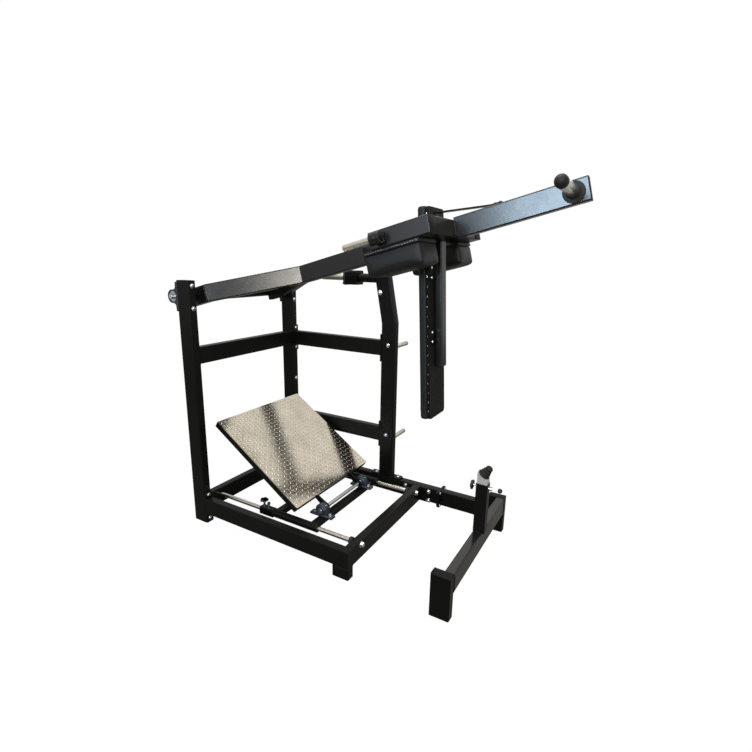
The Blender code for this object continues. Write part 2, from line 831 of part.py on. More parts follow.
def carriage_lock():
    """The star knob turns a spindle down on to the rod; the small pin stands beside it."""
    y = rod_y(-1)
    foot = ROD_Z + ROD_D / 2 + GAP
    depth = ROD_Z + LOCK_B / 2 - foot
    knob = bmesh.new()
    x = SLEEVE_X0 - LOCK_KNOB_BACK
    add_star(knob, (x, y, foot), (0, 0, 1), 0.022, 0.016, SPINDLE_D / 2, depth + 0.030)
    finish("carriage_lock_knob", knob, plastic())
    pin = bmesh.new()
    x = SLEEVE_X0 - LOCK_PIN_BACK
    half = LOCK_PIN_D / 2
    outline = (
        (half, 0), (half, depth + 0.014), (0.009, depth + 0.018), (0.010, depth + 0.023),
        (0.007, depth + 0.030), (0.002, depth + 0.032),
    )
    add_turned(pin, (x, y, foot), (0, 0, 1), outline, 16)
    finish("carriage_lock_pin", pin, plastic())


def add_star(bm, base, run, radius, height, stem, stem_l, lobes=5):
    """A lobed hand knob on its stem."""
    base = Vector(base)
    run = Vector(run).normalized()
    up = Vector((0, 0, 1)) if abs(run.z) < 0.9 else Vector((1, 0, 0))
    count = lobes * 6
    lobed = []
    for i in range(count):
        angle = 2 * math.pi * i / count
        reach = radius * (0.86 + 0.14 * math.cos(lobes * angle))
        lobed.append((reach * math.cos(angle), reach * math.sin(angle)))
    rings = []
    for distance in (0, stem_l):
        centre = base + run * distance
        rings.append(section(circle(2 * stem, count), centre, run, up, centre, run))
    for scale, share in ((0.55, 0.02), (0.92, 0.2), (1.0, 0.45), (1.0, 0.8), (0.85, 1.0)):
        centre = base + run * (stem_l + share * height)
        scaled = [(a * scale, b * scale) for a, b in lobed]
        rings.append(section(scaled, centre, run, up, centre, run))
    add_loft(bm, rings)


def plate_pillows():
    base_z = CARRIAGE_BAR_Z + CARRIAGE_BAR_H / 2 + GAP
    centre_h = HINGE_Z - base_z
    for name, side in (("near_plate_pillow", -1), ("far_plate_pillow", 1)):
        origin = (HINGE_X, MID_Y + side * PILLOW_IN, base_z)
        size = (PILLOW_L, PILLOW_W)
        bore = HINGE_D + 2 * RUN
        housing(name, origin, (1, 0, 0), (0, 0, 1), size, PILLOW_T, PILLOW_HEAD, centre_h, bore)


PLATE = Matrix.Translation((HINGE_X, MID_Y, HINGE_Z)) @ Matrix.Rotation(PLATE_TILT, 4, "Y")


def foot_plate():
    """Tread plate on a shallow frame; two lugs carry it on the hinge shaft. -X points uphill."""
    x_low = -PLATE_SET
    x_high = x_low - PLATE_L
    half = PLATE_W / 2
    half_in = half - PLATE_RIM
    outer = ((x_low, half), (x_high, half), (x_high, -half), (x_low, -half))
    in_low = x_low - PLATE_RIM
    in_high = x_high + PLATE_RIM
    inner = ((in_low, half_in), (in_high, half_in), (in_high, -half_in), (in_low, -half_in))
    bm = bmesh.new()
    outer_rings = []
    inner_rings = []
    for z in (PLATE_LIFT - PLATE_FRAME_H, PLATE_LIFT - GAP):
        outer_rings.append([Vector((a, b, z)) for a, b in outer])
        inner_rings.append([Vector((a, b, z)) for a, b in inner])
    add_sleeve(bm, outer_rings, inner_rings)
    frame = finish("plate_frame", bm, coat(), PLATE)
    middle = PLATE_LIFT - PLATE_FRAME_H / 2
    rib_size = (RIB_W, 2 * half_in + PLATE_RIM, PLATE_FRAME_H - 0.004)
    extras = [helper("rib", add_block, (RIB_X, 0, middle), rib_size, matrix=PLATE)]
    for label, side in (("near", -1), ("far", 1)):
        extras.append(helper(label + "_lug", add_lug, side * LUG_IN, matrix=PLATE))
        y = side * PROP_CHEEK_Y
        extras.append(helper(label + "_cheek", add_cheek, y, matrix=PLATE))
    combine(frame, extras)
    hinge_bore = helper("lug_bore", add_bar, (0, -PILLOW_IN, 0), (0, PILLOW_IN, 0),
                        HINGE_D + 2 * GAP, 20, matrix=PLATE)
    z = PLATE_LIFT - PROP_DROP - PLATE_FRAME_H / 2
    reach = 2 * PROP_CHEEK_Y
    prop_bore = helper("prop_bore", add_bar, (RIB_X, -reach, z), (RIB_X, reach, z),
                       PROP_PIN_D + 2 * RUN, 16, matrix=PLATE)
    combine(frame, [hinge_bore, prop_bore], "DIFFERENCE")
    size = (PLATE_L, PLATE_W, PLATE_TREAD_T)
    centre = ((x_low + x_high) / 2, 0, PLATE_LIFT + PLATE_TREAD_T / 2)
    block("tread_plate", centre, size, tread(), PLATE, 0.004, 2)
    shaft = bmesh.new()
    end = PILLOW_IN + PILLOW_W / 2 + 0.010
    add_bar(shaft, (0, -end, 0), (0, end, 0), HINGE_D, 20)
    finish("plate_hinge_shaft", shaft, zinc(), PLATE)


def add_lug(bm, y):
    """A cheek from the frame's low rail to a round eye on the hinge shaft."""
    middle = PLATE_LIFT - PLATE_FRAME_H / 2
    points = []
    for i in range(9):
        angle = math.radians(90 - 180 * i / 8)
        points.append((LUG_R * math.cos(angle), LUG_R * math.sin(angle)))
    inside = -PLATE_SET - PLATE_RIM / 2
    points += [(inside, middle - 0.012), (inside, middle + 0.012)]
    add_cut(bm, points, y, LUG_T)


def add_cheek(bm, y):
    """One of the two ears under the rib that hold the prop's pin."""
    middle = PLATE_LIFT - PLATE_FRAME_H / 2
    eye = middle - PROP_DROP
    radius = PROP_PIN_D
    points = [(RIB_X - radius, middle), (RIB_X - radius, eye)]
    for i in range(1, 8):
        angle = math.radians(180 + 180 * i / 8)
        points.append((RIB_X + radius * math.cos(angle), eye + radius * math.sin(angle)))
    points += [(RIB_X + radius, eye), (RIB_X + radius, middle)]
    add_cut(bm, points, y, PROP_CHEEK_T)


def add_cut(bm, points, y, thickness):
    """Sheet cut to an outline in X and Z, centred on y."""
    rings = []
    for end in SIDES:
        rings.append([Vector((a, y + end * thickness / 2, b)) for a, b in points])
    add_loft(bm, rings)


def plate_prop():
    """The prop hangs on its own pin under the rib and stands on the carriage's front bar."""
    top = PLATE @ Vector((RIB_X, 0, PLATE_LIFT - PLATE_FRAME_H / 2 - PROP_DROP))
    floor = CARRIAGE_BAR_Z + CARRIAGE_BAR_H / 2 + GAP
    foot = Vector((PROP_FOOT_X, MID_Y, floor + PROP_FOOT_D / 2))
    run = (foot - top).normalized()
    bm = bmesh.new()
    profile = rounded_rectangle(PROP_T, PROP_W, 0.003)
    add_loft(bm, swept_rings(profile, (top - run * PROP_PIN_D, foot), (0, 1, 0)))
    prop = finish("plate_prop", bm, coat())
    across = Vector((0, PROP_CHEEK_Y + PROP_CHEEK_T, 0))
    pin = helper("prop_pin", add_bar, top - across, top + across, PROP_PIN_D, 16)
    across = Vector((0, PROP_FOOT_W / 2, 0))
    shoe = helper("prop_shoe", add_bar, foot - across, foot + across, PROP_FOOT_D, 16)
    combine(prop, [pin, shoe])


# Bumper stop
def stop_post():
    bm = bmesh.new()
    x = END_TUBE_X - TUBE_B / 2 + STOP_B / 2
    z0 = END_TUBE_Z + TUBE_H / 2 + GAP
    outer = rounded_rectangle(STOP_B, STOP_T, 0.005)
    wall = 2 * STOP_WALL
    inner = rounded_rectangle(STOP_B - wall, STOP_T - wall, 0.003)
    outer_rings = [[Vector((x + a, MID_Y + b, z)) for a, b in outer] for z in (z0, STOP_TOP)]
    inner_rings = [[Vector((x + a, MID_Y + b, z)) for a, b in inner] for z in (z0, STOP_TOP)]
    add_sleeve(bm, outer_rings, inner_rings)
    post = finish("stop_post", bm, coat())
    z = STOP_TOP - STOP_KNOB_DOWN
    face = END_TUBE_X - TUBE_B / 2
    start = Vector((face + STOP_B - STOP_WALL / 2, MID_Y, z))
    out = Vector((1, 0, 0))
    barrel = helper("pin_barrel", add_bar, start, start + out * STOP_BARREL_L, STOP_BARREL_D, 16)
    combine(post, [barrel])
    pin = helper("pin_bore", add_bar, start - out * 2 * STOP_WALL, start + out * 2 * STOP_BARREL_L,
                 STOP_PIN_D + 2 * RUN, 16)
    wall = Vector((face, MID_Y, z))
    spindle = helper("knob_bore", add_bar, wall - out * STOP_WALL, wall + out * 2 * STOP_WALL,
                     SPINDLE_D + 2 * RUN, 16)
    combine(post, [pin, spindle], "DIFFERENCE")


def stop_inner():
    x = END_TUBE_X - TUBE_B / 2 + STOP_B / 2
    play = 2 * STOP_WALL + 2 * RUN
    width = STOP_B - play
    depth = STOP_T - play
    normal = Vector((math.sin(STOP_TILT), 0, math.cos(STOP_TILT)))
    top = Vector((x, MID_Y, STOP_TOP + STOP_OUT))
    path = ((x, MID_Y, STOP_TOP - STOP_IN), top)
    tube("stop_inner_tube", path, (0, 1, 0), width, depth, zinc(), ends=(None, normal),
         radius=0.003)
    bm = bmesh.new()
    outline = (
        (0.030, GAP), (0.031, 0.006), (0.026, 0.010), (0.0265, 0.020), (0.022, 0.024),
        (0.0225, 0.034), (0.018, 0.038), (0.019, 0.050), (0.014, 0.057), (0.006, 0.060),
    )
    add_turned(bm, top, normal, outline, 20)
    finish("stop_bumper", bm, rubber())


def stop_locks():
    """The star knob's spindle and the spring pin both reach the inner tube through the walls."""
    z = STOP_TOP - STOP_KNOB_DOWN
    face = END_TUBE_X - TUBE_B / 2
    inside = STOP_WALL + RUN - GAP
    knob = bmesh.new()
    start = (face + inside, MID_Y, z)
    add_star(knob, start, (-1, 0, 0), 0.022, 0.014, SPINDLE_D / 2, inside + 0.018)
    finish("stop_knob", knob, plastic())
    pin = bmesh.new()
    half = STOP_PIN_D / 2
    reach = inside + 0.048
    outline = (
        (half, 0), (half, reach), (0.010, reach + 0.003), (0.0125, reach + 0.009),
        (0.010, reach + 0.016), (0.003, reach + 0.020),
    )
    add_turned(pin, (face + STOP_B - inside, MID_Y, z), (1, 0, 0), outline, 16)
    finish("stop_pin", pin, plastic())


# Safety lever
def lever():
    """A shaft with a grip end and a block turns in a sleeve coped to the leaning post."""
    lean = (LEVER_Z - KINK_Z) * math.tan(KINK_LEAN)
    x_post = FAR_POST_X - lean - POST_FACE / math.cos(KINK_LEAN)
    run = Vector((1, 0, 0))
    up = Vector((0, 0, 1))
    start = Vector((LEVER_SLEEVE_X, SPAN_Y, LEVER_Z))
    end = Vector((x_post - GAP, SPAN_Y, LEVER_Z))
    slope = Vector((math.cos(KINK_LEAN), 0, math.sin(KINK_LEAN)))
    bm = bmesh.new()
    outer = []
    inner = []
    for point, normal in ((start, run), (end, slope)):
        outer.append(section(circle(LEVER_SLEEVE_D, 24), point, run, up, point, normal))
        bore = circle(LEVER_D + 2 * RUN, 24)
        inner.append(section(bore, point, run, up, point, normal))
    add_sleeve(bm, outer, inner)
    finish("lever_sleeve", bm, coat())
    bm = bmesh.new()
    half = LEVER_D / 2
    length = end.x - 0.012 - LEVER_TIP_X
    outline = ((half * 0.7, 0), (half, 0.005), (half, length))
    add_turned(bm, (LEVER_TIP_X, SPAN_Y, LEVER_Z), (1, 0, 0), outline, 20)
    finish("lever_shaft", bm, chrome())
    bm = bmesh.new()
    outer = []
    inner = []
    shapes = (
        (LEVER_BLOCK_X, LEVER_BLOCK_D - 2 * LEVER_BLOCK_EDGE),
        (LEVER_BLOCK_X + LEVER_BLOCK_EDGE, LEVER_BLOCK_D),
        (LEVER_SLEEVE_X - 2 * RUN, LEVER_BLOCK_D),
    )
    for x, diameter in shapes:
        point = Vector((x, SPAN_Y, LEVER_Z))
        outer.append(section(circle(diameter, 24), point, run, up, point, run))
        bore = circle(LEVER_D + 2 * GAP, 24)
        inner.append(section(bore, point, run, up, point, run))
    add_sleeve(bm, outer, inner)
    finish("lever_block", bm, coat())


far_right_post()
frame_left()
base_rails()
rear_foot()
pivot_housings()
pivot_bearings()
pivot_shaft()
torque_tube()
yoke_arms()
beam_pieces()
head_frame()
back_pad()
back_pad_board()
shoulder_pads()
pad_column()
strap_brace()
hand_grips()
weight_horn()
guide_rods()
carriage_bars()
carriage_sleeves()
carriage_lock()
plate_pillows()
foot_plate()
plate_prop()
stop_post()
stop_inner()
stop_locks()
lever()
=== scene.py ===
# %% [markdown]
# # A pendulum squat machine
# The steel frame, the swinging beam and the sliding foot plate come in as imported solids. This
# lesson dresses them: satin powder coat, stuffed pads, a tread plate, bolts, weld beads and caps.

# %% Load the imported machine
import math

import bmesh
import bpy
from mathutils import Matrix, Vector
from mathutils.bvhtree import BVHTree


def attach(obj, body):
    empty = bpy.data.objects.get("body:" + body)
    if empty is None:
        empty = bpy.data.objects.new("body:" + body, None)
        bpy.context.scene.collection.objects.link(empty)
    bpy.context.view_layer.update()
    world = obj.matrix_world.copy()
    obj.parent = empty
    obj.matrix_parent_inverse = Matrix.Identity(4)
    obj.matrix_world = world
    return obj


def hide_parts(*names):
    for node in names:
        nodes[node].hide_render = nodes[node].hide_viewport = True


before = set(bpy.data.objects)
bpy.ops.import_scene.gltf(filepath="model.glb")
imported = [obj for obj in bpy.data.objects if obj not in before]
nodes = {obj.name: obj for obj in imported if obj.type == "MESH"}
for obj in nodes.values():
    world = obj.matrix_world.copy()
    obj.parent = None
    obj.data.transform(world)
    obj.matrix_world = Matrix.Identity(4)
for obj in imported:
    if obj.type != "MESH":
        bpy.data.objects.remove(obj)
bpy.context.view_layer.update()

# %% [markdown]
# ## The machine's own directions
# The beam is pitched, the pads hang nearly upright and the foot plate is tilted. Details are easy
# to place in the frame of the piece that carries them, so each of these gets a matrix.

# %% Frames that lean
BEAM_PITCH = math.radians(14.5)
PAD_LEAN = math.radians(3.3)
PLATE_TILT = math.radians(33.4)
MID_Y = 0.433
SPAN_Y = 0.866
BEAM_T = -0.020
TUBE_H = 0.100
TUBE_B = 0.050
HALF_H = TUBE_H / 2
HALF_B = TUBE_B / 2
PIVOT_X = -0.096
PIVOT_Z = 1.384
PADS_ALONG = 1.4547
PADS_ABOVE = 0.020
HINGE_X = 0.765
HINGE_Z = 0.190

beam = Matrix.Translation((PIVOT_X, MID_Y, PIVOT_Z)) @ Matrix.Rotation(-BEAM_PITCH, 4, "Y")
pads = (
    beam
    @ Matrix.Translation((PADS_ALONG, 0, PADS_ABOVE))
    @ Matrix.Rotation(BEAM_PITCH - PAD_LEAN, 4, "Y")
)
plate = Matrix.Translation((HINGE_X, MID_Y, HINGE_Z)) @ Matrix.Rotation(PLATE_TILT, 4, "Y")
upright = Matrix.Identity(4)
print("head of the back pad at", pads.translation[:])

# %% [markdown]
# ## The camera
# The photograph was taken from chest height, off the tail end's near corner, with a wide lens.
# The three directions below are the camera's right, up and backward.

# %% Stand the camera
lens = bpy.data.cameras.new("studio camera")
lens.lens = 22.52
lens.sensor_width = 36.0
CAMERA_PLACE = (2.2603, -1.7718, 1.6000)
camera = bpy.data.objects.new("studio camera", lens)
view_right = Vector((0.86356, 0.50398, 0.01616))
view_up = Vector((-0.13378, 0.19808, 0.97101))
view_back = Vector((0.48617, -0.84069, 0.23847))
turn = Matrix((view_right, view_up, view_back)).transposed().to_4x4()
camera.matrix_world = Matrix.Translation(CAMERA_PLACE) @ turn
scene = bpy.context.scene
scene.collection.objects.link(camera)
scene.camera = camera
scene.view_settings.view_transform = "Standard"
print("camera at", CAMERA_PLACE, "with a lens of", lens.lens, "mm")

# %% [markdown]
# ## Shader sums in Python
# A wire wraps one shader socket, so that an ordinary expression such as `1 - mask * 0.4` adds the
# Math nodes by itself. A finish is one material, with a single method that adds any other node.

# %% Wires
class Wire:
    """A shader socket that takes part in sums."""

    def __init__(self, tree, socket):
        self.tree = tree
        self.socket = socket

    def maths(self, operation, *values):
        return brew(self.tree, "ShaderNodeMath", {"operation": operation}, dict(enumerate(values)))

    def __add__(self, other):
        return self.maths("ADD", self, other)

    __radd__ = __add__

    def __sub__(self, other):
        return self.maths("SUBTRACT", self, other)

    def __rsub__(self, other):
        return self.maths("SUBTRACT", other, self)

    def __mul__(self, other):
        return self.maths("MULTIPLY", self, other)

    __rmul__ = __mul__


def plug(tree, socket, value):
    if isinstance(value, Wire):
        tree.links.new(value.socket, socket)
    elif socket.type == "RGBA":
        socket.default_value = (*value, 1.0)
    else:
        socket.default_value = value


def brew(tree, kind, settings=None, values=None, output=0):
    """Add one node, set it, feed its sockets and give back one output."""
    node = tree.nodes.new(kind)
    for key, value in (settings or {}).items():
        setattr(node, key, value)
    for key, value in (values or {}).items():
        plug(tree, node.inputs[key], value)
    return Wire(tree, node.outputs[output])


# %% Finishes
class Finish:
    """One material and its main shader."""

    def __init__(self, name, **sockets):
        self.material = bpy.data.materials.new(name)
        self.material.use_nodes = True
        self.tree = self.material.node_tree
        self.shader = self.tree.nodes["Principled BSDF"]
        for socket, value in sockets.items():
            self.feed(socket.replace("_", " "), value)

    def feed(self, socket, value):
        plug(self.tree, self.shader.inputs[socket], value)

    def brew(self, kind, settings=None, values=None, output=0):
        return brew(self.tree, kind, settings, values, output)

    def place(self):
        """Object coordinates, in metres."""
        return self.brew("ShaderNodeTexCoord", output="Object")

    def noise(self, place, scale, detail=2.0, rough=0.5):
        values = {"Vector": place, "Scale": scale, "Detail": detail, "Roughness": rough}
        return self.brew("ShaderNodeTexNoise", values=values)

    def between(self, mask, low, high):
        """Stretch the part of a mask from low to high over 0 to 1."""
        values = {"Value": mask, "From Min": low, "From Max": high}
        return self.brew("ShaderNodeMapRange", values=values)

    def colours(self, mask, first, second):
        settings = {"data_type": "RGBA"}
        return self.brew("ShaderNodeMix", settings, {0: mask, 6: first, 7: second}, output=2)

    def edges(self, radius):
        """The normal rounded near edges, and how far it leans away from the flat face."""
        rounded = self.brew("ShaderNodeBevel", {"samples": 6}, {"Radius": radius})
        flat = self.brew("ShaderNodeNewGeometry", output="Normal")
        settings = {"operation": "DOT_PRODUCT"}
        agreement = self.brew("ShaderNodeVectorMath", settings, {0: rounded, 1: flat}, output=1)
        return rounded, 1.0 - agreement

    def bump(self, height, distance, strength=1.0, rounded=None):
        values = {"Height": height, "Distance": distance, "Strength": strength}
        if rounded:
            values["Normal"] = rounded
        self.feed("Normal", self.brew("ShaderNodeBump", values=values))


# %% [markdown]
# ## The white stage
# The photograph has a plain white ground. The world is white to the camera and dimmer to all other
# rays, so that black paint stays black. The floor is nearly as white and keeps a faint shadow.

# %% World and floor
SKY_LIGHT = 0.32
SKY_GLOSS = 0.60
SKY_SHOWN = 1.01
world = bpy.data.worlds.new("white studio")
world.use_nodes = True
scene.world = world
sky = world.node_tree
camera_ray = brew(sky, "ShaderNodeLightPath", output="Is Camera Ray")
glossy_ray = brew(sky, "ShaderNodeLightPath", output="Is Glossy Ray")
clear_ray = brew(sky, "ShaderNodeLightPath", output="Is Transmission Ray")
shown = camera_ray.maths("MAXIMUM", camera_ray, clear_ray)
level = SKY_LIGHT + glossy_ray * (SKY_GLOSS - SKY_LIGHT) + shown * (SKY_SHOWN - SKY_LIGHT)
plug(sky, sky.nodes["Background"].inputs["Color"], (1.0, 1.0, 1.0))
plug(sky, sky.nodes["Background"].inputs["Strength"], level)

FLOOR_SIZE = 9.0
FLOOR_COLOUR = (0.150, 0.135, 0.095)
FLOOR_SHADOW = 0.10
FLOOR_WHITE = 1.10
FLOOR_GLOSS = 0.10
FLOOR_CENTRE = (0.8, 0.4, -0.0015)
ground = bmesh.new()
bmesh.ops.create_grid(ground, x_segments=1, y_segments=1, size=FLOOR_SIZE)
bmesh.ops.translate(ground, verts=ground.verts, vec=FLOOR_CENTRE)
floor_mesh = bpy.data.meshes.new("studio floor")
ground.to_mesh(floor_mesh)
ground.free()
floor = bpy.data.objects.new("studio_floor", floor_mesh)
scene.collection.objects.link(floor)

paper = Finish("white paper", Base_Color=FLOOR_COLOUR, Roughness=0.9)
glow = paper.brew("ShaderNodeEmission", values={"Color": (1.0, 1.0, 1.0), "Strength": FLOOR_WHITE})
seen = paper.brew("ShaderNodeLightPath", output="Is Camera Ray")
through = paper.brew("ShaderNodeLightPath", output="Is Transmission Ray")
mirrored = paper.brew("ShaderNodeLightPath", output="Is Glossy Ray")
share = seen.maths("MAXIMUM", seen, through) * (1.0 - FLOOR_SHADOW) + mirrored * FLOOR_GLOSS
matte = Wire(paper.tree, paper.shader.outputs[0])
white = paper.brew("ShaderNodeMixShader", values={0: share, 1: matte, 2: glow})
plug(paper.tree, paper.tree.nodes["Material Output"].inputs["Surface"], white)
floor_mesh.materials.append(paper.material)
print("sky", SKY_LIGHT, "for light,", SKY_GLOSS, "in reflections,", SKY_SHOWN, "to the camera")


# %% [markdown]
# ## Lamps
# Satin paint is drawn by what it mirrors. Four panels are seen only in reflections. Three stand far
# behind the camera: a cool one lights the tail beam's side, a warm one the end of the near yoke arm
# and a weak grey one its middle. The fourth stands beyond the machine and is mirrored by the tread
# plate, crossed by the dark images of the two far beams. They are placed for the view from the
# camera above. A broad panel overhead and a weak one in front give the plain light.

# %% Light panels
def panel(name, place, aim, size, power, colour, diffuse=True):
    light = bpy.data.lights.new(name, "AREA")
    light.shape = "RECTANGLE"
    light.size, light.size_y = size
    light.energy = power
    light.color = colour
    lamp = bpy.data.objects.new(name, light)
    lamp.location = place
    lamp.rotation_euler = (Vector(aim) - Vector(place)).to_track_quat("-Z", "Y").to_euler()
    lamp.visible_diffuse = diffuse
    scene.collection.objects.link(lamp)
    return lamp


panel("overhead panel", (0.9, 0.2, 4.6), (0.9, 0.4, 0.8), (3.6, 2.6), 150, (1.0, 0.99, 0.97))
panel("front panel", (4.2, -3.4, 2.6), (0.7, 0.4, 0.8), (2.6, 2.2), 55, (1.0, 0.98, 0.95))
panel("cool window", (0.70, -7.0, 2.75), (1.8, 0.4, 1.85), (2.2, 1.7), 365,
      (0.63, 0.82, 1.0), diffuse=False)
panel("warm window", (5.8, -7.0, 3.9), (0.4, 0.3, 1.5), (2.0, 1.6), 225,
      (1.0, 0.95, 0.84), diffuse=False)
panel("grey wall", (-2.1, -7.0, 2.5), (1.3, 0.1, 1.75), (2.2, 1.6), 9,
      (1.0, 0.98, 0.94), diffuse=False)
panel("far sheet", (0.90, 4.1, 3.9), (0.40, 0.43, 0.43), (4.2, 3.4), 22,
      (1.0, 0.96, 0.88), diffuse=False)

# %% [markdown]
# ## Powder coat
# The frame is coated in a satin black. Real powder coat is slightly uneven: it has an orange-peel
# skin about a millimetre across and patches that are a little duller where it was handled. The
# tubes' edges are rounded, so a Bevel node bends the normal there, and a paler painted highlight
# is laid along them in patches.


# %% Black coat
# colour of the painted highlight on the rounded edges
EDGE_HIGHLIGHT = (0.060, 0.060, 0.054)


def powder_coat(name, dark, light, rough, peel, specular):
    coat = Finish(name, Specular_IOR_Level=specular)
    here = coat.place()
    patches = coat.noise(here, 3.2, 3.0)
    smears = coat.noise(here, 26.0, 4.0, 0.6)
    rounded, corner = coat.edges(0.0030)
    # painted highlight: the rounded edges are painted paler in patches, where they catch the light
    worn = coat.between(corner, 0.02, 0.30) * coat.between(smears, 0.35, 0.65) * 0.7
    coat.feed("Base Color", coat.colours(worn, coat.colours(patches, dark, light), EDGE_HIGHLIGHT))
    coat.feed("Roughness", rough + patches * 0.10 + smears * 0.08 - 0.06)
    coat.bump(coat.noise(here, 620.0, 1.0), peel, rounded=rounded)
    return coat


black_coat = powder_coat(
    "satin black coat", (0.0050, 0.0051, 0.0044), (0.0092, 0.0093, 0.0081), 0.27, 0.00005, 0.13
)
# painted sheen: the beam members wear the same satin black, in a glossier copy whose lighter colour is
# painted sheen
sheen_painted_coat = powder_coat(
    "black coat, painted sheen", (0.0080, 0.0082, 0.0078), (0.0140, 0.0142, 0.0132), 0.20, 0.00003, 0.46
)

# %% [markdown]
# ## Metals
# Zinc plate on the bolts is soft and cloudy, the rods and grips are polished and warm, the stop's
# inner tube is nearly white, and the pillow blocks are cast and painted blue-grey.


# %% Zinc, polished steel and castings
def plated(name, colour, rough, cloud, metallic=1.0):
    metal = Finish(name, Metallic=metallic)
    here = metal.place()
    clouds = metal.noise(here, 60.0, 4.0, 0.6)
    shade = tuple(value * cloud for value in colour)
    metal.feed("Base Color", metal.colours(clouds, shade, colour))
    metal.feed("Roughness", rough + clouds * 0.16 - 0.05)
    metal.bump(metal.noise(here, 900.0, 2.0), 0.00002)
    return metal


zinc = plated("zinc plate", (0.66, 0.67, 0.69), 0.24, 0.72)
# painted glint: a lighter, glossier copy of the zinc plate, for the bolts, staples and pins that catch
# the light
glint_painted_zinc = plated("zinc, painted glint", (0.90, 0.91, 0.93), 0.20, 0.88)
polished = plated("polished rod", (0.78, 0.71, 0.61), 0.15, 0.82)
worn_grip = plated("worn grip", (0.50, 0.47, 0.36), 0.34, 0.70)
grip_steel = plated("grip steel", (0.86, 0.81, 0.71), 0.24, 0.80, 0.75)
tube_steel = plated("tube steel", (0.93, 0.93, 0.93), 0.34, 0.80, 0.30)
black_oxide = plated("black oxide", (0.045, 0.045, 0.045), 0.32, 0.70)

casting = Finish("painted casting", Metallic=0.25, Specular_IOR_Level=0.5)
here = casting.place()
grit = casting.noise(here, 240.0, 4.0, 0.65)
rounded, corner = casting.edges(0.0040)
# painted highlight: the rounded edges of the castings are painted a pale blue-grey, where they catch
# the light
painted_edge_glint = casting.between(corner, 0.05, 0.5) * 0.6
enamel = casting.colours(grit, (0.018, 0.026, 0.040), (0.056, 0.075, 0.105))
casting.feed("Base Color", casting.colours(painted_edge_glint, enamel, (0.20, 0.24, 0.30)))
casting.feed("Roughness", 0.34 + grit * 0.18)
casting.bump(grit, 0.00035, rounded=rounded)

# %% [markdown]
# ## Rubber, plastic and vinyl
# The knobs are moulded plastic with a fine spark texture. The bumper is dull rubber. The vinyl of
# the pads has a pebbled grain of about a millimetre, made of cells whose edges are pressed in.


# %% Soft finishes
def moulded(name, dark, light, rough, grain, depth, specular):
    shell = Finish(name, Specular_IOR_Level=specular)
    here = shell.place()
    spark = shell.noise(here, grain, 3.0, 0.6)
    shell.feed("Base Color", shell.colours(spark, dark, light))
    shell.feed("Roughness", rough + spark * 0.15)
    shell.bump(spark, depth)
    return shell


plastic = moulded(
    "black plastic", (0.005, 0.005, 0.005), (0.011, 0.011, 0.011), 0.30, 700.0, 0.00006, 0.40
)
cap_plastic = moulded(
    "cap plastic", (0.004, 0.004, 0.004), (0.009, 0.009, 0.008), 0.45, 500.0, 0.00008, 0.14
)
rubber = moulded(
    "bumper rubber", (0.008, 0.008, 0.008), (0.020, 0.020, 0.019), 0.50, 320.0, 0.00020, 0.30
)


def sway_vector(skin, sway):
    """Turn a number into a small sideways push, so that the cells aren't too regular."""
    push = (sway - 0.5) * 0.0016
    return skin.brew("ShaderNodeCombineXYZ", values={0: push, 1: push, 2: push})


def leathercloth(name, dark, light, rough, specular):
    skin = Finish(name, Specular_IOR_Level=specular, Sheen_Weight=0.04)
    here = skin.place()
    push = sway_vector(skin, skin.noise(here, 120.0, 2.0))
    bent = skin.brew("ShaderNodeVectorMath", {"operation": "ADD"}, {0: here, 1: push})
    cells = skin.brew(
        "ShaderNodeTexVoronoi", {"feature": "DISTANCE_TO_EDGE"}, {"Vector": bent, "Scale": 640.0}
    )
    grain = skin.between(cells, 0.0, 0.30)
    patches = skin.noise(here, 9.0, 3.0)
    skin.feed("Base Color", skin.colours(patches, dark, light))
    skin.feed("Roughness", rough + patches * 0.12 - grain * 0.06)
    skin.bump(grain, 0.00016, 0.8)
    return skin


vinyl = leathercloth(
    "black vinyl", (0.0100, 0.0110, 0.0112), (0.0180, 0.0195, 0.0198), 0.42, 0.22
)
# painted shade: the board is wrapped in the same black vinyl, in a copy made darker, as painted shade
# on its back
board_painted_shade = leathercloth(
    "wrapped board", (0.0030, 0.0030, 0.0028), (0.0068, 0.0066, 0.0058), 0.52, 0.08
)

# %% [markdown]
# ## Tread plate
# The foot plate is a beige, burnished tread sheet. It is shiny enough to mirror the two beams
# behind it as dark bands, so the bands aren't painted: a low roughness and a shallow, uneven bump
# let the render find them, and break their edges up as the real sheet does.


# %% Burnished steel
def burnished(name, dark, light, rough, dents):
    sheet = Finish(name, Metallic=1.0)
    here = sheet.place()
    cloud = sheet.noise(here, 7.0, 4.0, 0.6)
    speckle = sheet.noise(here, 210.0, 3.0, 0.7)
    waves = sheet.noise(here, 55.0, 3.0, 0.6)
    clean = sheet.colours(sheet.between(cloud, 0.3, 0.7), dark, light)
    shade = tuple(value * 0.62 for value in dark)
    sheet.feed("Base Color", sheet.colours(sheet.between(speckle, 0.50, 0.85) * 0.8, clean, shade))
    sheet.feed("Roughness", rough + speckle * 0.14)
    sheet.bump(waves + speckle * 0.22, dents)
    return sheet


tread_sheet = burnished("tread sheet", (0.49, 0.445, 0.365), (0.64, 0.59, 0.50), 0.075, 0.00045)
tread_bars = burnished("tread bars", (0.46, 0.42, 0.35), (0.59, 0.54, 0.46), 0.26, 0.0004)

# %% [markdown]
# ## Dress the solids
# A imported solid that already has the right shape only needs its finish. The lists follow the
# machine: everything that isn't named here is black coated tube.

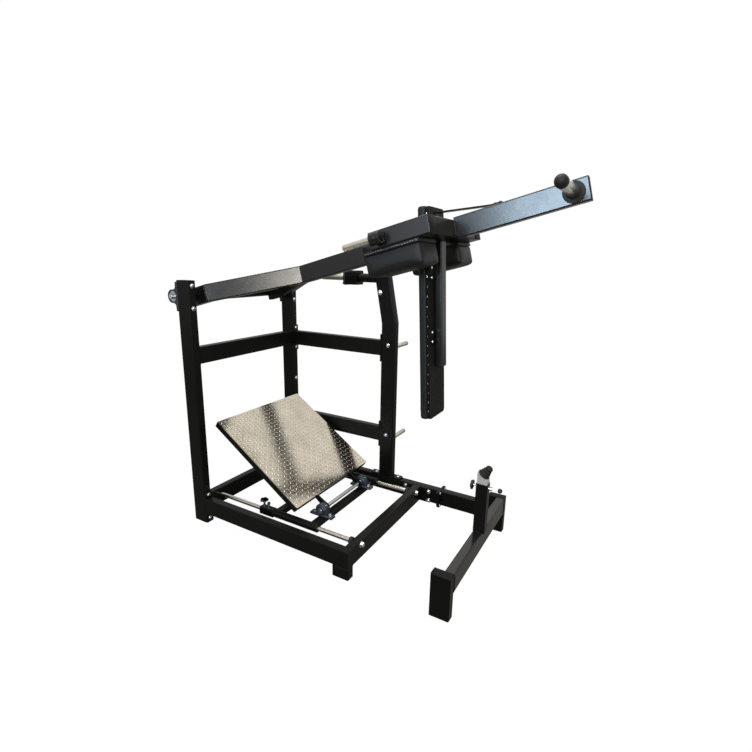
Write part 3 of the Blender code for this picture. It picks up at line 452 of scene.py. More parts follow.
# %% Finishes for the solids
DRESSES = (
    (sheen_painted_coat, ("near_yoke_arm", "tail_beam", "near_side_box", "far_side_box", "pad_column",
                 "front_beam", "end_cross_tube")),
    (casting, ("near_pivot_housing", "far_pivot_housing", "near_plate_pillow", "far_plate_pillow")),
    (zinc, ("near_pivot_bearing", "far_pivot_bearing", "pivot_shaft")),
    (tube_steel, ("stop_inner_tube",)),
    (rubber, ("stop_bumper",)),
    (tread_sheet, ("tread_plate",)),
    (board_painted_shade, ("back_pad_board",)),
)
finish_of = {name: black_coat for name in nodes}
for finish, names in DRESSES:
    for name in names:
        finish_of[name] = finish
for name, finish in finish_of.items():
    for slot in nodes[name].material_slots:
        slot.material = finish.material
print("dressed", len(finish_of), "solids")


# %% [markdown]
# ## Making a piece
# Every new piece is a bmesh. It is cleaned and turned the right way out, given one finish
# and one material slot, and set on the body that it moves with.

# %% Helpers for new pieces
def make(name, shape, finish, body, stands_for=(), smooth=40.0):
    bmesh.ops.remove_doubles(shape, verts=shape.verts, dist=1e-6)
    bmesh.ops.recalc_face_normals(shape, faces=shape.faces)
    mesh = bpy.data.meshes.new(name)
    shape.to_mesh(mesh)
    shape.free()
    mesh.materials.append(finish.material)
    mesh.shade_smooth()
    mesh.set_sharp_from_angle(angle=math.radians(smooth))
    piece = bpy.data.objects.new(name, mesh)
    scene.collection.objects.link(piece)
    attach(piece, body)
    if stands_for:
        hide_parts(*stands_for)
    print(name, len(mesh.polygons), "faces")
    return piece


def stamp(target, source, matrix):
    """Print a small shape into a larger one."""
    print_mesh = bpy.data.meshes.new("stamp")
    source.to_mesh(print_mesh)
    print_mesh.transform(matrix)
    target.from_mesh(print_mesh)
    bpy.data.meshes.remove(print_mesh)


def facing(place, out, base=upright):
    """Stand local +Z along out, at a place in some frame."""
    lift = Vector(out).to_track_quat("Z", "Y").to_matrix().to_4x4()
    return base @ Matrix.Translation(place) @ lift


def turned(outline, steps):
    """Spin (radius, height) pairs once round +Z; the ends close on the axis."""
    shape = bmesh.new()
    rim = [shape.verts.new((radius, 0, height)) for radius, height in outline]
    edges = [shape.edges.new(pair) for pair in zip(rim, rim[1:])]
    bmesh.ops.spin(shape, geom=rim + edges, axis=(0, 0, 1), cent=(0, 0, 0),
                   angle=math.tau, steps=steps, use_merge=True)
    bmesh.ops.remove_doubles(shape, verts=shape.verts, dist=1e-7)
    bmesh.ops.recalc_face_normals(shape, faces=shape.faces)
    return shape


def eased(shape, geom, offset, segments, affect="EDGES"):
    bmesh.ops.bevel(shape, geom=geom, offset=offset, offset_type="OFFSET", segments=segments,
                    profile=0.5, affect=affect, material=-1)


def softened(size, radius, segments=2, edges=None):
    """A block with rounded edges, centred on its origin."""
    shape = bmesh.new()
    bmesh.ops.create_cube(shape, size=1.0)
    bmesh.ops.scale(shape, verts=shape.verts, vec=size)
    chosen = [edge for edge in shape.edges if edges is None or edges(edge)]
    eased(shape, chosen, radius, segments)
    return shape


def tower(shape, steps):
    """Raise the top face through (spread, rise) steps."""
    tip = [max(shape.faces, key=lambda face: face.calc_center_median().z)]
    for spread, rise in steps:
        grown = bmesh.ops.extrude_face_region(shape, geom=tip)["geom"]
        ring = [item for item in grown if isinstance(item, bmesh.types.BMVert)]
        tip = [item for item in grown if isinstance(item, bmesh.types.BMFace)]
        bmesh.ops.translate(shape, verts=ring, vec=(0, 0, rise))
        bmesh.ops.scale(shape, verts=ring, vec=(spread, spread, 1))


# %% [markdown]
# A bolt has to touch what it holds. All solids go into one search tree, and each small piece is
# dropped on to the surface that a ray finds behind it.

# %% Find the surface
outside = bmesh.new()
for node in nodes.values():
    outside.from_mesh(node.data)
surface = BVHTree.FromBMesh(outside)
outside.free()
RAY_START = 0.012
SEAT_MISS = 0.002
WASHER_TOP = 0.0019


def seated(place, out, base):
    """The point of the solids' surface below a place, seen from outside."""
    start = base @ (Vector(place) + Vector(out) * RAY_START)
    inward = -(base.to_3x3() @ Vector(out))
    hit, _, _, distance = surface.ray_cast(start, inward, 4 * RAY_START)
    if hit is None or abs(distance - RAY_START) > SEAT_MISS:
        print("loose", place, out, None if hit is None else round((RAY_START - distance) * 1000, 1))
    return Vector(place) if hit is None else base.inverted() @ hit


# %% [markdown]
# ## Fasteners
# The frame is bolted together with low domed heads on washers. The rods are held by hex bolts.
# One head of each kind is turned once and then printed wherever the real machine has it.

# %% Heads and washers
DOME = ((0, 0.0066), (0.004, 0.0063), (0.0075, 0.0051), (0.0098, 0.0030), (0.0104, 0.0012),
        (0.0104, 0), (0, 0))
WASHER = ((0.0055, 0), (0.0135, 0), (0.0138, 0.0004), (0.0138, 0.0016), (0.0132, 0.0020),
          (0.0055, 0.0020), (0.0055, 0))
dome_head = turned(DOME, 20)
washer = turned(WASHER, 24)


def hex_bolt(across, height):
    shape = bmesh.new()
    bmesh.ops.create_cone(shape, cap_ends=True, segments=6, radius1=across / 2, radius2=across / 2,
                          depth=height)
    bmesh.ops.translate(shape, verts=shape.verts, vec=(0, 0, height / 2))
    top = [edge for edge in shape.edges if all(v.co.z > height * 0.9 for v in edge.verts)]
    eased(shape, top, across * 0.06, 2)
    return shape


hex_head = hex_bolt(0.022, 0.011)
small_hex = hex_bolt(0.015, 0.008)
heads = {"dome": dome_head, "hex": hex_head, "small": small_hex}


def bolts(name, body, places, finish=zinc, kind="dome", base=upright, scale=1.0):
    """Washers and heads on a row of (place, outward direction) pairs."""
    shape = bmesh.new()
    for place, out in places:
        spot = facing(seated(place, out, base), out, base) @ Matrix.Scale(scale, 4)
        stamp(shape, washer, spot)
        stamp(shape, heads[kind], spot @ Matrix.Translation((0, 0, WASHER_TOP)))
    return make(name, shape, finish, body)


RIGHT = (1, 0, 0)
LEFT = (-1, 0, 0)
NEAR = (0, -1, 0)
FAR = (0, 1, 0)
UP = (0, 0, 1)
POST_FACE = 0.0500
FLANGE_FACE = 0.0583
HOUSING_FACE = -0.0663
PIVOT_BOLTS = (1.321, 1.446)
FOOT_BOLTS = (0.030, 0.183)
LOW_BEAM_BOLT = 0.745

post_bolts = []
for z in PIVOT_BOLTS:
    for y in (0, SPAN_Y):
        post_bolts.append(((POST_FACE, y, z), RIGHT))
        post_bolts.append(((HOUSING_FACE, y, z), LEFT))
post_bolts.append(((POST_FACE, SPAN_Y, LOW_BEAM_BOLT), RIGHT))
for y in (0, SPAN_Y):
    for z in FOOT_BOLTS:
        post_bolts.append(((FLANGE_FACE, y, z), RIGHT))
bolts("post_bolts", "frame", post_bolts)

FLANGE_REACH = 0.070
FAR_BOLT_X = 0.833
FAR_FLANGE_FACE = 0.7757
FAR_POST_NEAR = SPAN_Y - HALF_B
SIDE_BEAMS = (1.050, 0.461)
beam_bolts = []
for beam_z in SIDE_BEAMS:
    for z in (beam_z - FLANGE_REACH, beam_z + FLANGE_REACH):
        beam_bolts.append(((FLANGE_FACE, SPAN_Y, z), RIGHT))
        beam_bolts.append(((FAR_FLANGE_FACE, SPAN_Y, z), LEFT))
for z in (1.072, SIDE_BEAMS[1]):
    beam_bolts.append(((FAR_BOLT_X, FAR_POST_NEAR, z), NEAR))
bolts("side_beam_bolts", "frame", beam_bolts, scale=0.9)
# this one bolt takes the zinc copy with painted glint
bolts("bright_post_bolt", "frame", [((0.768, FAR_POST_NEAR, 1.404), NEAR)], glint_painted_zinc, scale=1.15)

# %% Rails, rods and pillow blocks
RAIL_Z = 0.112
RAIL_PLATE_Y = 0.8327
RAIL_FLANGE_TOP = 0.1703
SPLICE_FRONT = 1.2319
SPLICE_BACK = 1.2482
SPLICE_ROW = 0.041
rail_bolts = [((0.996, RAIL_PLATE_Y, 0.143), NEAR), ((0.755, SPAN_Y, RAIL_FLANGE_TOP), UP),
              ((0.920, SPAN_Y, RAIL_FLANGE_TOP), UP)]
for y in (-SPLICE_ROW, SPLICE_ROW):
    for z in (-SPLICE_ROW, SPLICE_ROW):
        rail_bolts.append(((SPLICE_FRONT, SPAN_Y + y, RAIL_Z + z), LEFT))
        rail_bolts.append(((SPLICE_BACK, SPAN_Y + y, RAIL_Z + z), RIGHT))
bolts("rail_bolts", "frame", rail_bolts, scale=0.85)
cross_bolts = [((1.164, RAIL_PLATE_Y, z), NEAR) for z in (0.078, 0.140)]
bolts("cross_plate_bolts", "frame", cross_bolts, glint_painted_zinc)

ROD_LINES = (0.100, 0.766)
ROD_Z = 0.145
CROSS_RAIL_FACE = 1.104
rod_bolts = [((CROSS_RAIL_FACE, y, ROD_Z), RIGHT) for y in ROD_LINES]
bolts("rod_end_bolts", "frame", rod_bolts, glint_painted_zinc, "hex", scale=1.25)

PILLOW_TOP = 0.1643
PILLOW_IN = 0.215
PILLOW_BOLT = 0.052
pillow_bolts = []
for side in (-1, 1):
    for x in (HINGE_X - PILLOW_BOLT, HINGE_X + PILLOW_BOLT):
        pillow_bolts.append(((x, MID_Y + side * PILLOW_IN, PILLOW_TOP), UP))
bolts("pillow_bolts", "foot_carriage", pillow_bolts, kind="hex", scale=0.80)

STRAP_TOP = BEAM_T + HALF_H + 0.0063
bolts("strap_bolts", "pendulum", [((1.752, 0, STRAP_TOP), UP), ((1.774, 0, STRAP_TOP), UP)],
      kind="small", base=beam, scale=0.62)

# %% [markdown]
# ## Weld beads
# Tubes are welded where they meet. A bead is a stack of small overlapping ripples, so it is
# extruded ring by ring, each ring a little wider or narrower than the last.


# %% Bead along a line
RIPPLE = 0.0042
SWELL = 1.30


def bead(target, start, end, radius=0.0026, base=upright):
    start, end = Vector(start), Vector(end)
    run = end - start
    count = max(3, int(run.length / RIPPLE))
    shape = bmesh.new()
    bmesh.ops.create_circle(shape, cap_ends=True, segments=8, radius=radius * 0.6)
    ripples = [SWELL if i % 2 else 1 / SWELL for i in range(count)]
    tower(shape, [(1.6, run.length / count)] + [(swell, run.length / count) for swell in ripples[1:]])
    stamp(target, shape, facing(start, run, base))
    shape.free()


def rising_bead(target, x, y, low, high, radius=0.0026, base=upright):
    bead(target, (x, y, low), (x, y, high), radius, base)


seams = bmesh.new()
END_FOOT_X = 1.602
for y in (HALF_B, SPAN_Y - HALF_B):
    for z in (1.100, 1.000, 0.180, 0.080):
        bead(seams, (0.004, y, z), (0.046, y, z))
for y in (HALF_B, SPAN_Y - HALF_B):
    for x in (END_FOOT_X - HALF_H, END_FOOT_X + HALF_H):
        rising_bead(seams, x, y, 0.128, 0.216)
for y in (-HALF_B, HALF_B):
    bead(seams, (1.008, y, 0.0605), (1.100, y, 0.0605), 0.0024)
for y in (MID_Y - HALF_B, MID_Y + HALF_B):
    bead(seams, (1.606, y, 0.2235), (1.650, y, 0.2235))
make("frame_welds", seams, black_coat, "frame")

# %% [markdown]
# The beam's own welds stand out where the yoke arms meet it and where the boxes meet the cross
# tube, so they get a second set in the beam's frame.

# %% Beads on the pendulum
seams = bmesh.new()
LOW_T = BEAM_T - HALF_H
HIGH_T = BEAM_T + HALF_H
for side in (-1, 1):
    y = side * HALF_B
    for t in (LOW_T, HIGH_T):
        bead(seams, (0.505, y, t), (0.555, y, t), 0.0024, beam)
    rising_bead(seams, 0.528, y * 1.04, LOW_T + 0.006, HIGH_T - 0.006, 0.0024, beam)
    rising_bead(seams, 1.456, side * 0.248, BEAM_T - 0.038, BEAM_T + 0.038, 0.0024, beam)
    rising_bead(seams, 1.5552, y, BEAM_T - 0.036, BEAM_T + 0.036, 0.0026, beam)
    rising_bead(seams, 0.155, side * 0.3545, LOW_T + 0.004, HIGH_T - 0.004, 0.0028, beam)
# the beam's welds take the copy of the coat with painted sheen
make("beam_welds", seams, sheen_painted_coat, "pendulum")

# %% [markdown]
# ## Tube caps
# Open tube ends are closed with moulded inserts: a thin plate with rounded corners and edges,
# 2.5 mm proud of the steel.

# %% Caps
CAP_T = 0.0050


def cap(target, place, out, size, base=upright):
    shape = softened((size[0] - 0.002, size[1] - 0.002, CAP_T), 0.0018)
    stamp(target, shape, facing(place, out, base))
    shape.free()


QUARTER = math.pi / 2
POST_TOP = 1.474
KINK_LEAN = math.radians(10.7)
KINK_RISE = 0.347
KINK_X = 0.834
FAR_POST_TOP = 1.560
END_FOOT_TOP = 0.222
caps = bmesh.new()
for y in (0, SPAN_Y):
    cap(caps, (0, y, POST_TOP), UP, (TUBE_H, TUBE_B))
leaning_top = (KINK_X - KINK_RISE * math.tan(KINK_LEAN), SPAN_Y, FAR_POST_TOP)
cap(caps, leaning_top, UP, (TUBE_H / math.cos(KINK_LEAN), TUBE_B))
for y in (0, SPAN_Y):
    cap(caps, (END_FOOT_X, y, END_FOOT_TOP), UP, (TUBE_H, TUBE_B))
make("post_caps", caps, cap_plastic, "frame")

caps = bmesh.new()
BOX = 0.080
BOX_Y = 0.288
BOX_ENDS = ((1.260, LEFT), (1.555, RIGHT))
TAIL_END = 2.139
for side in (-1, 1):
    for s, out in BOX_ENDS:
        cap(caps, (s, side * BOX_Y, BEAM_T), out, (BOX, BOX), beam)
cap(caps, (TAIL_END, 0, BEAM_T), RIGHT, (TUBE_B, TUBE_H), beam)
make("beam_caps", caps, cap_plastic, "pendulum")

# %% [markdown]
# ## Tread bars
# Tread sheet has small lens-shaped bars that stand 1 mm proud and alternate in direction. One
# bar is a flattened, stretched half ball; some seven hundred of them cover the foot plate.

# %% Raised pattern
BAR_PITCH = 0.026
BAR_HALF = 0.0105
BAR_WIDE = 0.0034
BAR_HIGH = 0.0010
PLATE_LOW = -0.084
PLATE_L = 0.716
PLATE_W = 0.740
TREAD_TOP = 0.020
MARGIN = 0.020

lens_bar = bmesh.new()
bmesh.ops.create_uvsphere(lens_bar, u_segments=10, v_segments=4, radius=1.0)
whole = lens_bar.verts[:] + lens_bar.edges[:] + lens_bar.faces[:]
bmesh.ops.bisect_plane(lens_bar, geom=whole, plane_co=(0, 0, -0.25), plane_no=(0, 0, 1),
                       clear_inner=True)
rim = [edge for edge in lens_bar.edges if edge.is_boundary]
bmesh.ops.contextual_create(lens_bar, geom=rim)
bmesh.ops.scale(lens_bar, verts=lens_bar.verts, vec=(BAR_HALF, BAR_WIDE, BAR_HIGH))

bars = bmesh.new()
rows = int((PLATE_L - MARGIN) / BAR_PITCH)
columns = int((PLATE_W - MARGIN) / BAR_PITCH)
for row in range(rows + 1):
    for column in range(columns + 1):
        x = PLATE_LOW - PLATE_L / 2 + (row - rows / 2) * BAR_PITCH
        y = (column - columns / 2) * BAR_PITCH
        lean = math.radians(45 if (row + column) % 2 else -45)
        spot = plate @ Matrix.Translation((x, y, TREAD_TOP)) @ Matrix.Rotation(lean, 4, "Z")
        stamp(bars, lens_bar, spot)
print((rows + 1) * (columns + 1), "tread bars")
make("tread_bars", bars, tread_bars, "foot_plate", smooth=60.0)

# %% [markdown]
# ## The pads
# Each pad is foam under vinyl, pulled over a thin board and stapled at its edge. The foam is
# firm: a rounded block, remeshed, crowned on its outer face and drawn in towards the board. That
# gives most of its shape. The cloth solver then adds a little swelling, held along the board. Its
# raw result is wrinkled, so each move is capped and then averaged with its neighbours.


# %% Stuffed foam
FOAM_VOXEL = 0.0050
MOST_MOVE = 0.0030
PRESSURE = 4.0
CLOTH_FRAMES = 20
CALM_ROUNDS = 6


def stuff(piece):
    """Blow a pad out with cloth pressure, cap each move and smooth the result."""
    before = [vert.co.copy() for vert in piece.data.vertices]
    cloth = piece.modifiers.new("stuffing", "CLOTH")
    cloth.settings.use_pressure = True
    cloth.settings.uniform_pressure_force = PRESSURE
    cloth.settings.effector_weights.gravity = 0.0
    cloth.settings.tension_stiffness = 60.0
    cloth.settings.compression_stiffness = 60.0
    cloth.settings.bending_stiffness = 12.0
    cloth.settings.vertex_group_mass = "held"
    cloth.point_cache.frame_start = 1
    cloth.point_cache.frame_end = CLOTH_FRAMES
    for step in range(1, CLOTH_FRAMES + 1):
        scene.frame_set(step)
    view = bpy.context.evaluated_depsgraph_get()
    blown = piece.evaluated_get(view)
    after = [vert.co.copy() for vert in blown.data.vertices]
    piece.modifiers.remove(cloth)
    scene.frame_set(1)
    furthest = 0.0
    for vert, old, new in zip(piece.data.vertices, before, after):
        move = new - old
        if move.length > MOST_MOVE:
            move = move.normalized() * MOST_MOVE
        furthest = max(furthest, move.length)
        vert.co = old + move
    relaxed = bmesh.new()
    relaxed.from_mesh(piece.data)
    for _ in range(CALM_ROUNDS):
        bmesh.ops.smooth_vert(relaxed, verts=relaxed.verts, factor=0.5, use_axis_x=True,
                              use_axis_y=True, use_axis_z=True)
    relaxed.to_mesh(piece.data)
    relaxed.free()
    print(piece.name, "moved up to", round(furthest * 1000, 1), "mm, capped at", MOST_MOVE * 1000)


def foam(name, size, matrix, node, crown, edge, draw_in):
    """Foam on a board at z = 0, growing to +Z, in the frame of its matrix."""
    length, width, thick = size
    shape = softened((length, width, thick), edge, 4, lambda side: max(v.co.z for v in side.verts) > 0)
    bmesh.ops.translate(shape, verts=shape.verts, vec=(0, 0, thick / 2))
    mesh = bpy.data.meshes.new(name)
    shape.to_mesh(mesh)
    shape.free()
    piece = bpy.data.objects.new(name, mesh)
    scene.collection.objects.link(piece)
    remesh = piece.modifiers.new("remesh", "REMESH")
    remesh.mode = "VOXEL"
    remesh.voxel_size = FOAM_VOXEL
    view = bpy.context.evaluated_depsgraph_get()
    fine = bpy.data.meshes.new_from_object(piece.evaluated_get(view))
    piece.modifiers.remove(remesh)
    piece.data = fine
    held = piece.vertex_groups.new(name="held")
    for vert in fine.vertices:
        up = min(1.0, max(0.0, vert.co.z / thick))
        across = 1 - (2 * vert.co.y / width) ** 2
        along = 1 - (2 * vert.co.x / length) ** 6
        swell = max(0.0, across) * max(0.0, along)
        pull = draw_in * (1 - up) ** 2
        vert.co.x -= math.copysign(pull, vert.co.x) if abs(vert.co.x) > length * 0.3 else 0
        vert.co.y -= math.copysign(pull, vert.co.y) if abs(vert.co.y) > width * 0.3 else 0
        vert.co.z += crown * swell * up
        held.add([vert.index], max(0.0, 1 - 4 * up), "REPLACE")
    stuff(piece)
    fine.transform(matrix)
    fine.materials.clear()
    fine.materials.append(vinyl.material)
    fine.shade_smooth()
    smooth = piece.modifiers.new("smooth", "SUBSURF")
    smooth.levels = 1
    smooth.render_levels = 1
    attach(piece, "pendulum")
    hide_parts(node)
    print(name, len(fine.vertices), "points")
    return piece


# %% [markdown]
# The shoulder pads hang under the side boxes. Under each box is the wrapped board, and the foam
# below it is deep enough for a shoulder to sink in.

# %% Shoulder pads
BOX_LOW = BEAM_T - BOX / 2 - 0.0003
SHOULDER = Vector((0.290, 0.190, 0.112))
SHOULDER_BOARD = 0.018
SHOULDER_S = 1.355
SHOULDER_Y = 0.233
SHY = 0.004
SIDES = (("near", -1), ("far", 1))
hanging = Matrix.Rotation(math.pi, 4, "X")
for label, side in SIDES:
    seat = beam @ Matrix.Translation((SHOULDER_S, side * SHOULDER_Y, BOX_LOW)) @ hanging
    board = softened((SHOULDER.x - SHY, SHOULDER.y - SHY, SHOULDER_BOARD - 0.0012), 0.0035, 3)
    bmesh.ops.transform(board, matrix=seat @ Matrix.Translation((0, 0, SHOULDER_BOARD / 2)),
                        verts=board.verts)
    make(label + "_shoulder_board", board, vinyl, "pendulum")
    start = seat @ Matrix.Translation((0, 0, SHOULDER_BOARD))
    size = (SHOULDER.x - SHY, SHOULDER.y - SHY, SHOULDER.z - SHOULDER_BOARD)
    foam(label + "_shoulder_foam", size, start, label + "_shoulder_pad", 0.005, 0.012, 0.001)

# %% [markdown]
# The back pad is long, flat and firm, and its corners are only lightly rounded.

# %% Back pad
BACK = Vector((1.050, 0.200, 0.034))
BACK_TOP = 0.090
BOARD_T = 0.015
PROUD = 0.007
lying = Matrix.Rotation(-QUARTER, 4, "Y")
board_front = -BOARD_T - 0.0006
seat = pads @ Matrix.Translation((board_front, 0, BACK_TOP - BACK.x / 2)) @ lying
size = (BACK.x - SHY, BACK.y - SHY, BACK.z + PROUD)
foam("back_foam", size, seat, "back_pad", 0.003, 0.011, 0.001)

# %% [markdown]
# ## Staples
# The vinyl is stapled to the edge of the boards. Some staples catch the light, so each is a real
# piece of wire: a short round bar with rounded ends.


# %% Staple rows
STAPLE_R = 0.0009
STAPLE_LONG = 0.0085
STAPLE_PITCH = 0.0135
BACK_PITCH = 0.048


def staple():
    shape = bmesh.new()
    bmesh.ops.create_cone(shape, cap_ends=True, segments=6, radius1=STAPLE_R, radius2=STAPLE_R,
                          depth=STAPLE_LONG)
    bmesh.ops.rotate(shape, verts=shape.verts, matrix=Matrix.Rotation(QUARTER, 3, "Y"))
    ends = [edge for edge in shape.edges if abs(edge.verts[0].co.x - edge.verts[1].co.x) < 1e-6]
    eased(shape, ends, 0.0003, 1)
    return shape


wire = staple()
row = bmesh.new()
for side in (-1, 1):
    y = side * (SHOULDER_Y + SHOULDER.y / 2 - 0.0020)
    for i in range(20):
        s = SHOULDER_S - 0.128 + i * STAPLE_PITCH
        drop = BOX_LOW - 0.009 - 0.001 * math.sin(7.3 * i)
        lean = Matrix.Rotation(0.10 * math.sin(5.1 * i), 4, "Y")
        stamp(row, wire, beam @ Matrix.Translation((s, y, drop)) @ lean)
# the shoulder staples take the zinc copy with painted glint; the back row keeps the plain zinc
make("shoulder_staples", row, glint_painted_zinc, "pendulum")

row = bmesh.new()
down_turn = Matrix.Rotation(QUARTER, 4, "Y")
for side in (-1, 1):
    y = side * (BACK.y / 2 - 0.0038)
    for i in range(21):
        z = BACK_TOP - 0.040 - i * BACK_PITCH
        depth = -BOARD_T / 2 + 0.0012 * math.sin(4.7 * i)
        lean = Matrix.Rotation(0.12 * math.sin(3.9 * i), 4, "Y")
        stamp(row, wire, pads @ Matrix.Translation((depth, y, z)) @ down_turn @ lean)
make("back_staples", row, zinc, "pendulum")

# %% [markdown]
# ## Rods, grips and pegs
# Everything round is turned again with more sides than the solids have, because a polished bar
# shows each flat as a stripe. The rods, their rings and the hinge bar stand for their solids; the
# peg sleeves are added.


# %% Turned bars
def bar(name, outline, place, run, finish, body, stands_for=(), base=upright, steps=48):
    shape = bmesh.new()
    source = turned(outline, steps)
    stamp(shape, source, facing(place, run, base))
    source.free()
    return make(name, shape, finish, body, stands_for, smooth=30.0)


ROD_R = 0.0125
ROD_START = 0.0503
ROD_RUN = 0.9834
STOP_RING = 0.0200
RING = ((0.0128, 0), (0.0195, 0), (0.0212, 0.0015), (0.0212, STOP_RING - 0.0015),
        (0.0195, STOP_RING), (0.0128, STOP_RING), (0.0128, 0))
ROD = ((0, 0), (ROD_R, 0), (ROD_R, ROD_RUN + STOP_RING), (0, ROD_RUN + STOP_RING))
for label, y in zip(("near", "far"), ROD_LINES):
    node = label + "_guide_rod"
    bar(label + "_rod", ROD, (ROD_START, y, ROD_Z), RIGHT, polished, "frame", (node,))
    bar(label + "_rod_ring", RING, (ROD_START + ROD_RUN, y, ROD_Z), RIGHT, rubber, "frame",
        (node,))

HINGE_R = 0.0110
HINGE_RUN = 0.4820
HINGE_NEAR = MID_Y - HINGE_RUN / 2
HINGE = ((0, 0), (HINGE_R - 0.001, 0), (HINGE_R, 0.001), (HINGE_R, HINGE_RUN - 0.001),
         (HINGE_R - 0.001, HINGE_RUN), (0, HINGE_RUN))
bar("hinge_bar", HINGE, (HINGE_X, HINGE_NEAR, HINGE_Z), FAR, zinc, "foot_plate",
    ("plate_hinge_shaft",))

PEG = ((0.0141, 0), (0.0143, 0.001), (0.0143, 0.2150), (0.0125, 0.2185), (0.0100, 0.2202), (0, 0.2206))
for label, z in (("low", 0.412), ("high", 1.050)):
    bar(label + "_peg_sleeve", PEG, (KINK_X, SPAN_Y + HALF_B + 0.0001, z), FAR, polished, "frame")

# %% [markdown]
# The hand grips point to the pivot and are held in the clamps of the side boxes. A moulded plug
# closes the clamp behind each grip, and a grub screw pinches it from the side.

# %% Hand grips
GRIP_R = 0.0150
GRIP_RUN = 0.2000
GRIP_TIP = 1.1400
GRIP_Y = 0.363
CLAMP_R = 0.028
GRIP = ((0, 0), (0.0105, 0), (0.0135, 0.0015), (GRIP_R, 0.0050), (GRIP_R, GRIP_RUN), (0, GRIP_RUN))
PLUG = ((0, 0.0070), (0.0080, 0.0064), (0.0140, 0.0040), (0.0185, 0.0012), (0.0190, 0), (0, 0))
for label, side in SIDES:
    y = side * GRIP_Y
    bar(label + "_grip", GRIP, (GRIP_TIP, y, BEAM_T), RIGHT, grip_steel, "pendulum",
        (label + "_hand_grip",), beam)
    bar(label + "_grip_plug", PLUG, (GRIP_TIP + GRIP_RUN + 0.0003, y, BEAM_T), RIGHT, cap_plastic,
        "pendulum", (), beam, 24)
    screw = ((1.315, side * (GRIP_Y + CLAMP_R), BEAM_T), (0, side, 0))
    bolts(label + "_grip_screws", "pendulum", [screw], black_oxide, kind="small", base=beam, scale=0.5)

# %% [markdown]
# The weight horn has a welded collar, a bright shaft and a rubber ball that keeps plates on.

# %% Weight horn
HORN_S = 2.080
HORN_ROOT = -0.0253
HORN_R = 0.0240
HORN_RUN = 0.3000
HORN = ((0, 0), (HORN_R, 0), (HORN_R, HORN_RUN), (0, HORN_RUN))
BALL = ((0, 0.0280), (0.0105, 0.0258), (0.0185, 0.0195), (0.0236, 0.0105), (0.0254, 0.0010),
        (0.0254, -0.0100), (0.0253, -0.0180), (0.0243, -0.0190), (0, -0.0190))
COLLAR = ((0, 0), (0.0440, 0), (0.0450, 0.0010), (0.0450, 0.0070), (0.0440, 0.0080),
          (0.0300, 0.0090), (0.0262, 0.0130), (0.0245, 0.0140), (0, 0.0140))
for label, outline, y, finish, slot in (
    ("horn_shaft", HORN, HORN_ROOT, polished, "polished_rod"),
    ("horn_ball", BALL, HORN_ROOT - HORN_RUN - 0.0010, rubber, "grey_rubber"),
    ("horn_collar", COLLAR, HORN_ROOT, rubber, "grey_rubber"),
):
    bar(label, outline, (HORN_S, y, BEAM_T), NEAR, finish, "pendulum", ("weight_horn",), beam)

# %% [markdown]
# ## Pillow blocks
# The foot plate's hinge bar turns in two cast pillow blocks. Each has a flat foot, a round head
# with a boss, a steel insert that is locked to the bar, and a grease nipple on its shoulder.

# %% Cast blocks
PILLOW_FOOT = 0.1503
FOOT_HIGH = 0.0140
WEB_MIDDLE = 0.0260
NIPPLE_OUT = 0.0372
HEAD = ((0, -0.0180), (0.0345, -0.0180), (0.0380, -0.0145), (0.0380, 0.0145), (0.0345, 0.0180),
        (0, 0.0180))
BOSS = ((0.0165, -0.0210), (0.0255, -0.0210), (0.0275, -0.0190), (0.0275, 0.0190), (0.0255, 0.0210),
        (0.0165, 0.0210), (0.0165, -0.0210))
INSERT = ((0.0112, -0.0260), (0.0150, -0.0260), (0.0158, -0.0250), (0.0158, 0.0250), (0.0150, 0.0260),
          (0.0112, 0.0260), (0.0112, -0.0260))
NIPPLE = ((0, 0), (0.0035, 0), (0.0035, 0.0040), (0.0018, 0.0050), (0.0028, 0.0070), (0.0024, 0.0090),
          (0, 0.0095))
NIPPLE_LEAN = math.radians(40)
turned_parts = {"head": turned(HEAD, 40), "boss": turned(BOSS, 36), "nipple": turned(NIPPLE, 12)}
for label, side in SIDES:
    middle = Vector((HINGE_X, MID_Y + side * PILLOW_IN, HINGE_Z))
    block = bmesh.new()
    foot = softened((0.156, 0.040, FOOT_HIGH), 0.0030, 3)
    under = Matrix.Translation((middle.x, middle.y, PILLOW_FOOT))
    stamp(block, foot, under @ Matrix.Translation((0, 0, FOOT_HIGH / 2)))
    foot.free()
    web = softened((0.086, 0.0345, 0.0320), 0.0030, 3)
    upper = [vert for vert in web.verts if vert.co.z > 0]
    bmesh.ops.scale(web, verts=upper, vec=(0.84, 0.94, 1))
    stamp(block, web, under @ Matrix.Translation((0, 0, WEB_MIDDLE)))
    web.free()
    for part in ("head", "boss"):
        stamp(block, turned_parts[part], facing(middle, FAR))
    node = label + "_plate_pillow"
    make(label + "_pillow_block", block, casting, "foot_carriage", (node,))
    bar(label + "_pillow_insert", INSERT, middle, FAR, zinc, "foot_carriage", (node,))
    lean = Vector((math.sin(NIPPLE_LEAN), 0, math.cos(NIPPLE_LEAN)))
    nipple = bmesh.new()
    stamp(nipple, turned_parts["nipple"], facing(middle + lean * NIPPLE_OUT, lean))
    make(label + "_grease_nipple", nipple, zinc, "foot_carriage")

# %% [markdown]
# ## Safety lever
# The lever's shaft has a thick grip, and turns in a square housing by the leaning post. A cast
# flange is bolted on the front of the housing.

